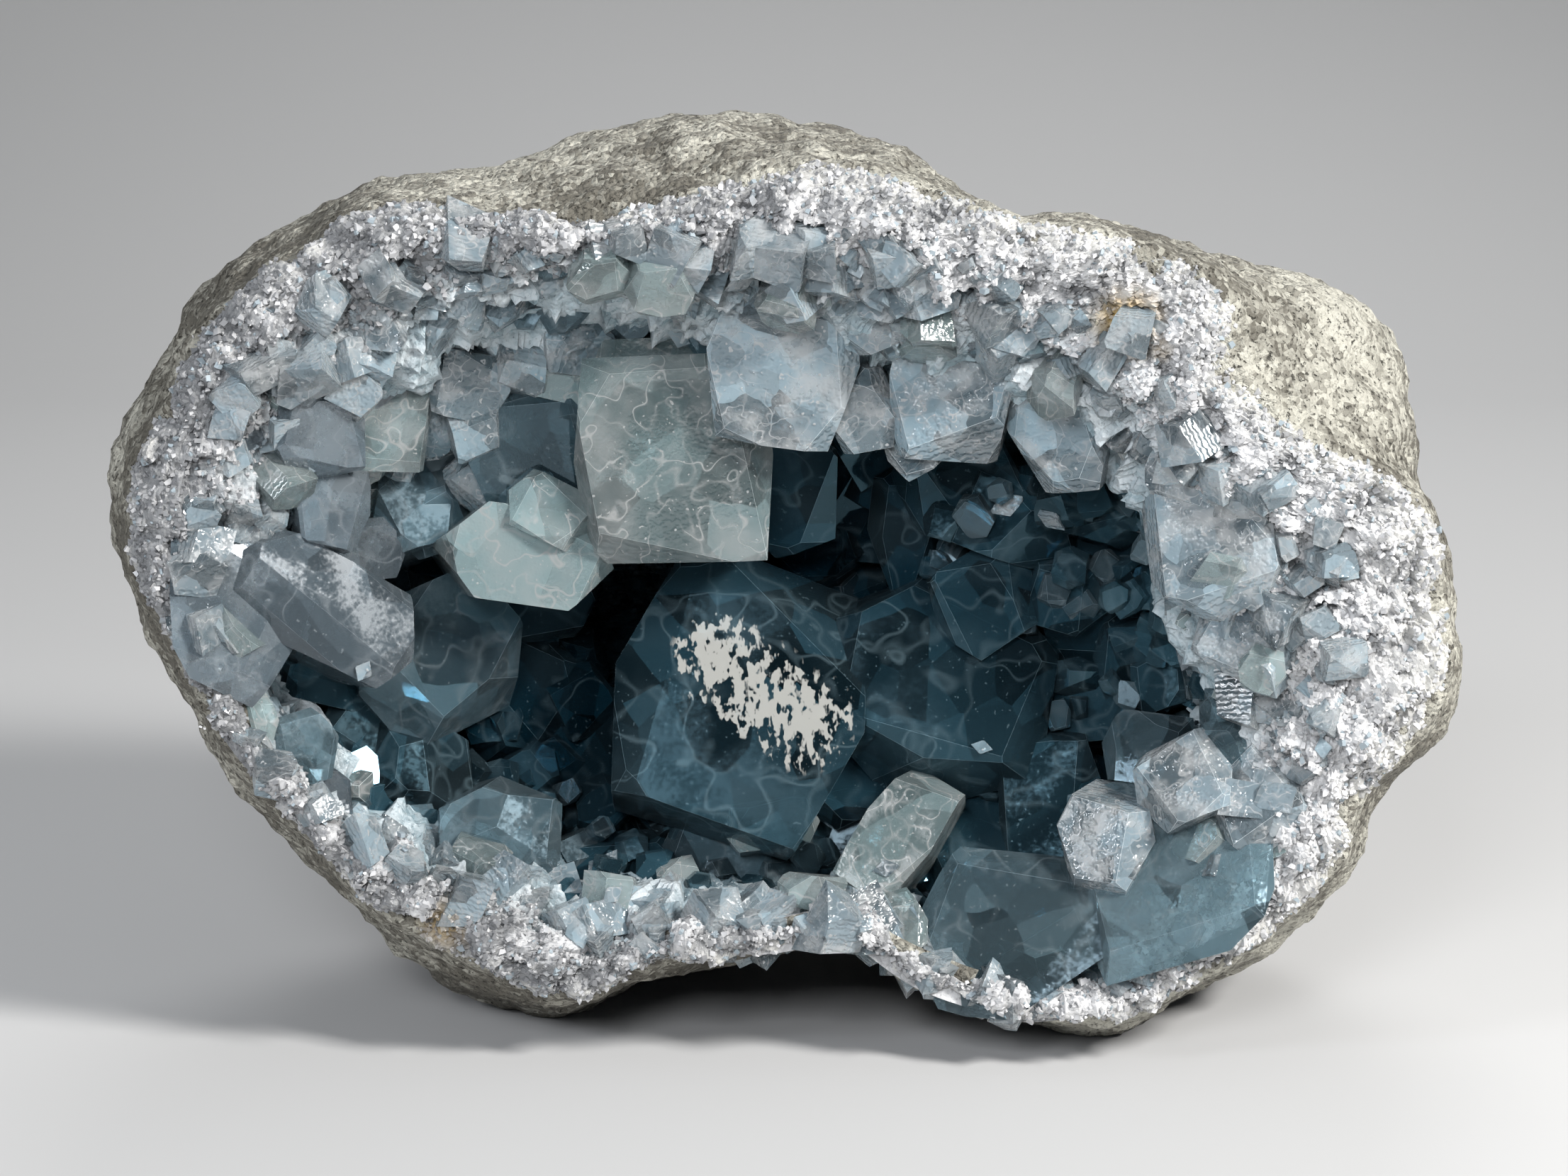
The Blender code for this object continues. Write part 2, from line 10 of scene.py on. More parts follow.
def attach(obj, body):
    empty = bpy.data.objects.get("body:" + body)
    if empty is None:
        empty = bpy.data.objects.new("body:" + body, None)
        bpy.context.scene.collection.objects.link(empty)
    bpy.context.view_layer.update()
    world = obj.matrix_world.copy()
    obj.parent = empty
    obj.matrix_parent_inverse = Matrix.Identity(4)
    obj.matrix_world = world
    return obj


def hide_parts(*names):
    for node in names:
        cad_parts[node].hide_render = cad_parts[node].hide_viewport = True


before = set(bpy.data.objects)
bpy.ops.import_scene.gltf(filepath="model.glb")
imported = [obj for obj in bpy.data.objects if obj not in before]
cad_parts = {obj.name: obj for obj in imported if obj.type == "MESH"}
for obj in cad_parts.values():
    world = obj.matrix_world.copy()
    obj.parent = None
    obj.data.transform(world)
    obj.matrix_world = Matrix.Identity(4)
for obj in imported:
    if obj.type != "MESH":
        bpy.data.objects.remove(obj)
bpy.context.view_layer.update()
mm = 0.001

# Where the stone is seen from. Lengths here and in the shapes are millimetres.
sight = {
    "drop": 12.0,  # degrees that the camera looks down
    "focus": (0.0, 0.0, 72.9),
    "distance": 620.0,
    "widthSeen": 245.8,  # what the frame takes in across, at the focus
    "film": 36.0,  # width of the camera's sensor
    "origin": (0.831, 31.246, 0.0),  # the part's own origin
}
drop = math.radians(sight["drop"])
focus = np.array(sight["focus"])
sightLine = np.array([0.0, math.cos(drop), -math.sin(drop)])
seenUp = np.array([0.0, math.sin(drop), math.cos(drop)])
seenRight = np.array([1.0, 0.0, 0.0])
eye = focus - sightLine * sight["distance"]

stoneShape = {
    "middle": (0.0, 3.0),  # the loops run round this, as (right, up) from the focus
    "outline": (
        (105, -3), (102, 12), (99, 18), (99, 27), (97, 37), (93, 44), (83, 50), (70, 54), (57, 56),
        (44, 58), (37, 59), (27, 63), (18, 68), (13, 70), (-1, 74), (-11, 75), (-22, 74),
        (-34, 70.5), (-45, 67), (-61, 64), (-77, 57), (-90, 47), (-98, 33), (-105, 19), (-105, 9),
        (-102, -2), (-93, -17), (-85, -31), (-75, -42), (-61, -55), (-51, -63), (-40, -67),
        (-35, -67.5), (-28, -65), (-17, -61), (-7, -58), (8, -56), (14, -57), (20, -63), (28, -65),
        (40, -68.5), (50, -71.5), (56, -68.5), (67, -62), (82, -52), (91, -43), (94, -31),
        (103, -20),
    ),
    "skinEdge": (
        (102, -3), (99, 11), (84, 22), (71, 31), (67, 48), (52, 53), (37, 56.5), (22, 61), (8, 66),
        (-12, 62), (-34, 58), (-46, 59), (-60, 60), (-76, 52), (-89, 43), (-96, 32), (-101, 19),
        (-102, 9), (-99, -2), (-90, -17), (-82, -30), (-72, -41), (-59, -52), (-46, -59),
        (-34, -63), (-17, -57.5), (-2, -56), (10, -55), (20, -60), (40, -66), (52, -67), (70, -58),
        (87, -44), (91, -32), (100, -19),
    ),
    "mouth": (
        (66, -8), (64, 9), (57, 21), (45, 31), (31, 38), (14, 43), (-3, 45), (-20, 48), (-40, 48),
        (-55, 43), (-68, 31), (-80, 14), (-86, -2), (-84, -16), (-76, -28), (-66, -38), (-52, -43),
        (-38, -48), (-22, -50), (-4, -50.5), (13, -51), (28, -60), (44, -61), (58, -52), (68, -36),
        (72, -20),
    ),
    # how far behind the focus each station lies, from the back's pole to the hollow's end
    "depths": (85, 81, 64, 38, 12, -6, -16, -19, -9, 12, 34, 53, 59),
    # the back's widths, as shares of the softened outline, of it and the outline together, and of
    # the outline alone, and the degrees over which the outline is softened
    "backShares": (0.41, 0.55, 0.2, 0.92), "soften": range(-50, 51, 10),
    # the slope's middle, as shares of the skin's edge and the mouth, and the hollow's widths
    "slopeShares": (0.62, 0.38), "hollowShares": (0.93, 0.58),
    # the outer face's last station, and in how many steps its place is looked up
    "outerRows": (6.5, 131),
    # the feet and the arch between them: direction in degrees, width in degrees, fullness
    "underside": ((-116, 13, 0.03), (-57, 12, 0.01), (-84, 13, -0.12)),
    # where the skin's own lumps end and the rim's begin, and over how many stations
    "skinTo": 7.0, "skinFade": 1.5,
    # height, size and seed of each kind of relief
    "skinSwell": ((2.2, 34, 1), (1.3, 15, 5)),
    "rimSwell": ((1.7, 16, 9),),
    "skinGrain": ((0.9, 7, 31), (0.6, 3.6, 33), (0.32, 1.7, 35)),
    "rimGrain": ((0.35, 1.6, 37), (0.16, 0.7, 41)),
    "rimBillows": ((2.4, 8.0, 47), (1.1, 3.6, 49)),
    # height as a share of the size, size, seed
    "rimFacets": ((0.26, 6.0, 51), (0.28, 2.6, 71), (0.22, 1.3, 91)),
    # how far in the pale crystals reach, furthest at the top: direction in degrees, station. The
    # pale is partly their own colour near the mouth, partly painted light where light falls on the
    # upper crystals
    "paleReach": (
        (-180, 9.5), (-165, 8.8), (-120, 8.2), (-60, 8.25), (-20, 8.5), (20, 8.7), (60, 9.1),
        (90, 9.4), (115, 9.9), (140, 10.4), (165, 10.3), (180, 9.5),
    ),
    "paleFade": 0.6,  # stations over which they turn deep blue, which is partly painted shade
}
endStation = 12  # where the hollow ends
middle = np.array(stoneShape["middle"])


def toPart(places):
    # a place in the part's own frame, in metres
    return (places - np.array(sight["origin"])) * mm


def asSeen(right, up, behind):
    # where the ray from the eye through (right, up) on the focus plane meets the plane that lies
    # that far behind the focus
    right, up, behind = np.broadcast_arrays(right, up, behind)
    ray = focus + right[..., None] * seenRight + up[..., None] * seenUp - eye
    return eye + ray * ((behind - eye[1]) / ray[..., 1])[..., None]


def hermite(knots, values, at):
    # a cubic through the values whose slope at each knot is the mean of its two neighbours'
    slopes = np.gradient(values, knots, axis=0)
    low = np.clip(np.searchsorted(knots, at, side="right") - 1, 0, len(knots) - 2)
    step = knots[low + 1] - knots[low]
    t = (at - knots[low]) / step
    if values.ndim == 2:
        step, t = step[:, None], t[:, None]
    return (
        (2 * t**3 - 3 * t**2 + 1) * values[low]
        + (t**3 - 2 * t**2 + t) * step * slopes[low]
        + (3 * t**2 - 2 * t**3) * values[low + 1]
        + (t**3 - t**2) * step * slopes[low + 1]
    )


def loopRadius(points, turn):
    # distance from the middle at each angle of turn: a cubic through the loop, closed on itself
    across = np.array(points, float) - middle
    angle = np.arctan2(across[:, 1], across[:, 0])
    radius = np.hypot(across[:, 0], across[:, 1])
    order = np.argsort(angle)
    angle, radius = angle[order], radius[order]
    angle = np.concatenate([angle[-2:] - 2 * np.pi, angle, angle[:2] + 2 * np.pi])
    radius = np.concatenate([radius[-2:], radius, radius[:2]])
    return hermite(angle, radius, (turn + np.pi) % (2 * np.pi) - np.pi)


cellShift = 100.0  # keeps the cells' numbers above nought
noiseGain = 1.6  # brings the noise to about -1 to 1
cellPrimes = 73856093, 19349663, 83492791
saltPrime, firstPrime, secondPrime = 2654435761, 2246822519, 3266489917


def scrambled(cells, salt):
    # a number from -1 to 1 for each whole-numbered cell: its three numbers, times large primes,
    # and mixed with the salt and with its own higher bits
    x, y, z = (cells[..., i].astype(np.uint64) * np.uint64(cellPrimes[i]) for i in range(3))
    bits = x ^ y ^ z ^ np.uint64(salt * saltPrime)
    bits = (bits ^ (bits >> np.uint64(15))) * np.uint64(firstPrime)
    bits = (bits ^ (bits >> np.uint64(13))) * np.uint64(secondPrime)
    return (bits >> np.uint64(11) & np.uint64(0xFFFF)).astype(float) / 32767.5 - 1


def lumps(places, size, salt):
    # gradient noise: at each corner of a cell of that size a random slope, eased into each other
    scaled = places / size + cellShift
    cell = np.floor(scaled).astype(np.int64)
    inside = scaled - cell
    ease = inside**3 * (inside * (inside * 6 - 15) + 10)
    total = np.zeros(places.shape[:-1])
    for corner in product((0, 1), repeat=3):
        offset = np.array(corner)
        slope = np.stack([scrambled(cell + offset, salt + k) for k in range(3)], axis=-1)
        weight = np.where(offset == 1, ease, 1 - ease).prod(axis=-1)
        total += weight * ((inside - offset) * slope).sum(axis=-1)
    return total * noiseGain


def swelling(places, layers):
    # the sum of several sizes of lumps
    return sum(height * lumps(places, size, salt) for height, size, salt in layers)


def stations(turn):
    # radius as seen of each station at every angle of turn: the back grows from a pole to the
    # outline, the rim runs from the skin's edge in to the mouth, and the hollow narrows to a pole
    outline = loopRadius(stoneShape["outline"], turn)
    skin = loopRadius(stoneShape["skinEdge"], turn)
    mouth = loopRadius(stoneShape["mouth"], turn)
    steps = np.radians(stoneShape["soften"])
    soft = sum(loopRadius(stoneShape["outline"], turn + step) for step in steps) / len(steps)
    degrees = np.degrees(turn)
    fuller = 1 + sum(
        fullness * np.exp(-((((degrees - centre + 180) % 360 - 180) / width) ** 2))
        for centre, width, fullness in stoneShape["underside"]
    )
    nearPole, softPart, sharpPart, nearOutline = stoneShape["backShares"]
    skinPart, mouthPart = stoneShape["slopeShares"]
    wide, narrow = stoneShape["hollowShares"]
    none = np.zeros_like(turn)
    return np.array([
        none, nearPole * soft, (softPart * soft + sharpPart * outline) * fuller,
        nearOutline * outline * fuller, outline, (outline + skin) / 2, skin,
        skinPart * skin + mouthPart * mouth, mouth, mouth, wide * mouth, narrow * mouth, none,
    ])


def stoneSurface(turn, row):
    # the smooth stone: radius and depth of the stations joined by cubics along each row
    knots = np.arange(len(stoneShape["depths"]), dtype=float)
    radius = np.maximum(hermite(knots, stations(turn), row), 0)
    depth = hermite(knots, np.array(stoneShape["depths"], float), row)[:, None]
    right = middle[0] + radius * np.cos(turn)
    up = middle[1] + radius * np.sin(turn)
    return asSeen(right, up, depth)


def outward(grid):
    # unit normals of a grid that is closed round its second direction
    along = np.gradient(grid, axis=0)
    around = np.roll(grid, -1, axis=1) - np.roll(grid, 1, axis=1)
    normal = np.cross(around, along)
    return normal / np.maximum(np.linalg.norm(normal, axis=-1, keepdims=True), 1e-9)


brokenHabit = {"jitter": 0.45, "height": 0.5, "tilt": 1.1}  # shares of a cell
billowMean = 0.25  # about the noise's mean distance from nought


def brokenFacets(places, size, salt):
    # a surface broken into flat faces: each place takes the height and the tilt of the nearest of
    # the jittered points of a grid of that size, and that point's own tone from -1 to 1
    scaled = places / size + cellShift
    cell = np.floor(scaled).astype(np.int64)
    inside = scaled - cell
    nearest = np.full(places.shape[:-1], np.inf)
    height, tone = np.zeros_like(nearest), np.zeros_like(nearest)
    for shift in product((-1, 0, 1), repeat=3):
        corner = cell + np.array(shift)
        point = np.stack([scrambled(corner, salt + k) for k in range(3)], axis=-1)
        away = inside - (point * brokenHabit["jitter"] + 0.5 + np.array(shift))
        distance = (away**2).sum(axis=-1)
        closer = distance < nearest
        tilt = np.stack([scrambled(corner, salt + 5 + k) for k in range(3)], axis=-1)
        here = brokenHabit["height"] * scrambled(corner, salt + 9)
        here = here + brokenHabit["tilt"] * (away * tilt).sum(axis=-1)
        nearest = np.where(closer, distance, nearest)
        height = np.where(closer, here, height)
        tone = np.where(closer, scrambled(corner, salt + 11), tone)
    return height * size, tone


def billows(places, layers):
    # rounded lumps with creases between them: each size takes its noise's distance from nought
    return sum(
        height * (abs(lumps(places, size, salt)) - billowMean) for height, size, salt in layers
    )


def paleness(turn, row):
    # 1 where the crystals are pale, 0 where they are deep blue, and a straight slope between: pale
    # partly painted light, deep blue partly painted shade
    degrees, reach = np.array(stoneShape["paleReach"], float).T
    ends = np.interp((np.degrees(turn) + 180) % 360 - 180, degrees, reach)
    return np.clip((ends - row) / stoneShape["paleFade"] + 0.5, 0, 1)


def baseStone(turn, row):
    # the smooth stone pushed along its normals by the lumps that the whole stone has
    grid = stoneSurface(turn, row)
    normal = outward(grid)
    if row[0] == 0:
        normal[0] = normal[1].mean(axis=0)
    skin = np.clip((stoneShape["skinTo"] - row) / stoneShape["skinFade"], 0, 1)[:, None]
    rise = skin * swelling(grid, stoneShape["skinSwell"])
    rise += (1 - skin) * swelling(grid, stoneShape["rimSwell"])
    return grid + normal * rise[..., None], normal


def standing(grid):
    # flattened where the stone stands
    grid[..., 2] = np.maximum(grid[..., 2], 0)
    return grid


def putMesh(name, points, faces, material, smooth=False, own=None, values=()):
    # points in the focus frame go in as the part's metres; faces are rows of three or four
    # corners, or lists of any length
    mesh = bpy.data.meshes.new(name)
    points = toPart(standing(points))
    if isinstance(faces, np.ndarray):
        sides = faces.shape[1]
        mesh.vertices.add(len(points))
        mesh.vertices.foreach_set("co", points.ravel())
        mesh.loops.add(faces.size)
        mesh.loops.foreach_set("vertex_index", faces.ravel())
        mesh.polygons.add(len(faces))
        mesh.polygons.foreach_set("loop_start", np.arange(len(faces)) * sides)
        mesh.update(calc_edges=True)
    else:
        mesh.from_pydata(points, [], faces)
    mesh.polygons.foreach_set("use_smooth", np.full(len(mesh.polygons), smooth))
    if own is not None:
        layer = mesh.attributes.new("own", "FLOAT_VECTOR", "POINT")
        layer.data.foreach_set("vector", own.ravel())
    for title, numbers in values:
        layer = mesh.attributes.new(title, "FLOAT", "POINT")
        layer.data.foreach_set("value", numbers.ravel())
    mesh.materials.append(material)
    mesh.validate()
    mesh.update()
    piece = bpy.data.objects.new(name, mesh)
    bpy.context.scene.collection.objects.link(piece)
    return piece


def gridFaces(rows, around):
    # triangles between the rings of a closed body of turning, and fans at its two poles: point 0
    # is the first pole, then the rings, then the last pole
    ring = np.arange(around)
    nextOne = (ring + 1) % around
    rings = 1 + np.arange(rows - 2)[:, None] * around
    low, lowNext = (rings[:-1] + ring).ravel(), (rings[:-1] + nextOne).ravel()
    last = 1 + (rows - 2) * around
    start = np.stack([np.zeros(around, int), 1 + nextOne, 1 + ring], axis=1)
    end = np.stack([np.full(around, last), last - around + ring, last - around + nextOne], axis=1)
    first = np.stack([low, lowNext, lowNext + around], axis=1)
    second = np.stack([low, lowNext + around, low + around], axis=1)
    return np.concatenate([start, first, second, end])


def ringFaces(rows, around):
    # triangles of a closed ring, whose last row meets its first
    place = np.arange(rows * around).reshape(rows, around)
    low, high = place.ravel(), np.roll(place, -1, axis=0).ravel()
    lowNext = np.roll(place, -1, axis=1).ravel()
    highNext = np.roll(np.roll(place, -1, axis=0), -1, axis=1).ravel()
    return np.concatenate([
        np.stack([low, lowNext, highNext], axis=1), np.stack([low, highNext, high], axis=1),
    ])


def polePoints(grid):
    # a grid's points in the order that gridFaces counts them: each pole's row is one point
    return np.concatenate([grid[0, :1], grid[1:-1].reshape(-1, 3), grid[-1, :1]])


def poleValues(values):
    # the same order for one value at each point
    return np.concatenate([values[0, :1], values[1:-1].ravel(), values[-1, :1]])


# crystals: shapes
crystalHabit = {
    "lean": 0.35,  # degrees a crystal leans in for each millimetre that it is from the middle
    "broader": {"pale": 1.1, "frosted": 1.15, "blue": 1.18, "deep": 1.22, "smoky": 1.1},
    "inset": 3.0,  # how far inside the rim's edge a crystal stays
    "sides": (0.42, 0.5, 3.0),  # half of the width at the root and past the end, and how far past
    "endLean": 9,  # degrees at most, like the next three
    "bevelTurn": 25, "bevelApart": 14, "bevelSteep": (36, 60),
    "bevelJitter": (-0.22, 0.16), "bevelLimits": (0.1, 0.95),  # shares of the way out
    "broad": 13,  # a crystal wider and higher than this has four bevels, and others three
    "nicks": 6,
    "nickUp": 0.6,  # how much more often the nicks are near its end
    "nickDepth": (0.03, 0.10),  # shares of its smaller size
    "cover": 3.0,  # how much stone there is behind its root
    "shorter": (1.0, 0.85, 0.7, 0.55, 0.4, 0.25),  # the lengths tried for that, as shares
    "edge": (0.4, 2), "shardEdge": (0.15, 1),  # width and segments of the bevelled edges, which carry a painted highlight
    "edgeAngle": 14,  # degrees between two faces whose edge is bevelled and carries the painted highlight
    "seeds": (100, 500),
}
ownStep, chipStep = 37.0, 7.3  # how far apart in the veils' pattern two crystals or chips lie
toneStep = 0.61803  # the golden section, so that the next crystal's tone is far from the last


def facetedSolid(normals, offsets):
    # the convex body on the inner side of every plane: each three planes meet in a point, the
    # points inside all the others are its corners, and a face is its plane's corners by angle
    trios = np.array(list(combinations(range(len(normals)), 3)))
    sets = normals[trios]
    good = np.abs(np.linalg.det(sets)) > 1e-5  # the others are nearly parallel
    corners = np.linalg.solve(sets[good], offsets[trios[good]][..., None])[..., 0]
    corners = corners[(corners @ normals.T <= offsets + 1e-6).all(axis=1)]
    corners = np.unique(np.round(corners, 5), axis=0)
    faces = []
    for normal, offset in zip(normals, offsets):
        on = np.flatnonzero(np.abs(corners @ normal - offset) < 2e-4)
        if len(on) < 3:
            continue
        flat = corners[on] - corners[on].mean(axis=0)
        side = flat[np.argmax(np.abs(flat).sum(axis=1))]
        side = side / np.linalg.norm(side)
        angle = np.arctan2(flat @ np.cross(normal, side), flat @ side)
        faces.append(on[np.argsort(angle)].tolist())
    return corners, faces


def unit(vectors):
    # each vector divided by its length
    return vectors / np.linalg.norm(vectors, axis=-1, keepdims=True)


def prismPlanes(size, length, squareness):
    # six sides that widen from the root, and the root's own face
    shape = np.array([
        (1, 0), (squareness, 1), (-squareness, 1), (-1, 0), (-squareness, -1), (squareness, -1),
    ]) * size
    rootHalf, tipHalf, past = crystalHabit["sides"]
    root = np.column_stack([shape * rootHalf, np.full(6, -length)])
    tip = np.column_stack([shape * tipHalf, np.full(6, past)])
    normals = unit(np.cross(np.roll(root, -1, axis=0) - root, tip - root))
    offsets = (normals * root).sum(axis=1)
    return np.vstack([normals, (0, 0, -1)]), np.append(offsets, length)


def endPlanes(size, endShare, pick, bevels):
    # the end face leans a little, and each bevel starts a share of the way out along one side
    lean = np.radians(pick.uniform(-crystalHabit["endLean"], crystalHabit["endLean"], 2))
    planes = [(np.zeros(3), np.array([math.sin(lean[0]), math.sin(lean[1]), 1.0]))]
    first = pick.uniform(-crystalHabit["bevelTurn"], crystalHabit["bevelTurn"])
    apart = crystalHabit["bevelApart"]
    least, most = crystalHabit["bevelLimits"]
    for i in range(bevels):
        toward = math.radians(first + 90 * i + pick.uniform(-apart, apart))
        across = np.array([math.cos(toward), math.sin(toward), 0.0])
        share = min(most, max(least, endShare + pick.uniform(*crystalHabit["bevelJitter"])))
        steep = math.radians(pick.uniform(*crystalHabit["bevelSteep"]))
        reach = np.abs(across[:2] * size / 2).sum()
        planes.append((across * share * reach, across * math.sin(steep) + (0, 0, math.cos(steep))))
    normals = unit(np.array([normal for point, normal in planes]))
    offsets = (np.array([point for point, normal in planes]) * normals).sum(axis=1)
    return normals, offsets


def nicked(normals, offsets, pick, count, size):
    # small broken corners: planes at random that only just reach into the body
    corners = facetedSolid(normals, offsets)[0]
    for _ in range(count):
        aim = unit(pick.normal(size=3) + (0, 0, crystalHabit["nickUp"]))
        reach = (corners @ aim).max() - pick.uniform(*crystalHabit["nickDepth"]) * min(size)
        normals, offsets = np.vstack([normals, aim]), np.append(offsets, reach)
    return facetedSolid(normals, offsets)


def outerFace():
    # how far out the stone's outer face lies, for each depth and each degree of turn
    knots = np.arange(len(stoneShape["depths"]), dtype=float)
    row = np.linspace(0, *stoneShape["outerRows"])
    radius = hermite(knots, stations(np.radians(np.arange(360.0))), row)
    return hermite(knots, np.array(stoneShape["depths"], float), row), radius


outerDepth, outerRadius = outerFace()


def roomInStone(places):
    # how far inside the stone's outer face, and above the floor, each place is
    away = places - eye
    scale = sight["distance"] / (away @ sightLine)
    across = np.stack([away @ seenRight, away @ seenUp], axis=-1) * scale[:, None] - middle
    degree = np.degrees(np.arctan2(across[:, 1], across[:, 0])).astype(int) % 360
    levels = np.arange(len(outerDepth))
    level = np.interp(places[:, 1], outerDepth[::-1], levels[::-1]).astype(int)
    return np.minimum(outerRadius[level, degree] - np.hypot(*across.T), places[:, 2])


def rooted(tip, axes, corners):
    # the crystal's part behind its end, shortened until it stays inside the stone
    behindEnd = corners[:, 2] < 0
    for share in crystalHabit["shorter"]:
        shorter = corners.copy()
        shorter[behindEnd, 2] *= share
        if roomInStone(tip + shorter[behindEnd] @ axes).min() > crystalHabit["cover"]:
            break
    return shorter


def oneCrystal(size, length, endShare, squareness, pick, bevels, nicks, nickPick, limit=None):
    # the body inside the prism's planes, the end's and, where it is given, one more, then nicked
    size = np.array(size, float)
    sideNormals, sideOffsets = prismPlanes(size, length, squareness)
    topNormals, topOffsets = endPlanes(size, endShare, pick, bevels)
    normals = np.vstack([sideNormals, topNormals])
    offsets = np.append(sideOffsets, topOffsets)
    if limit is not None:
        normals, offsets = np.vstack([normals, limit[0]]), np.append(offsets, limit[1])
    return nicked(normals, offsets, nickPick, nicks, size)


def turned(axis, vectors, degrees):
    # the vectors turned about axis
    angle = math.radians(degrees)
    along = np.dot(vectors, axis)[..., None] * axis
    return (
        vectors * math.cos(angle)
        + np.cross(axis, vectors) * math.sin(angle)
        + along * (1 - math.cos(angle))
    )


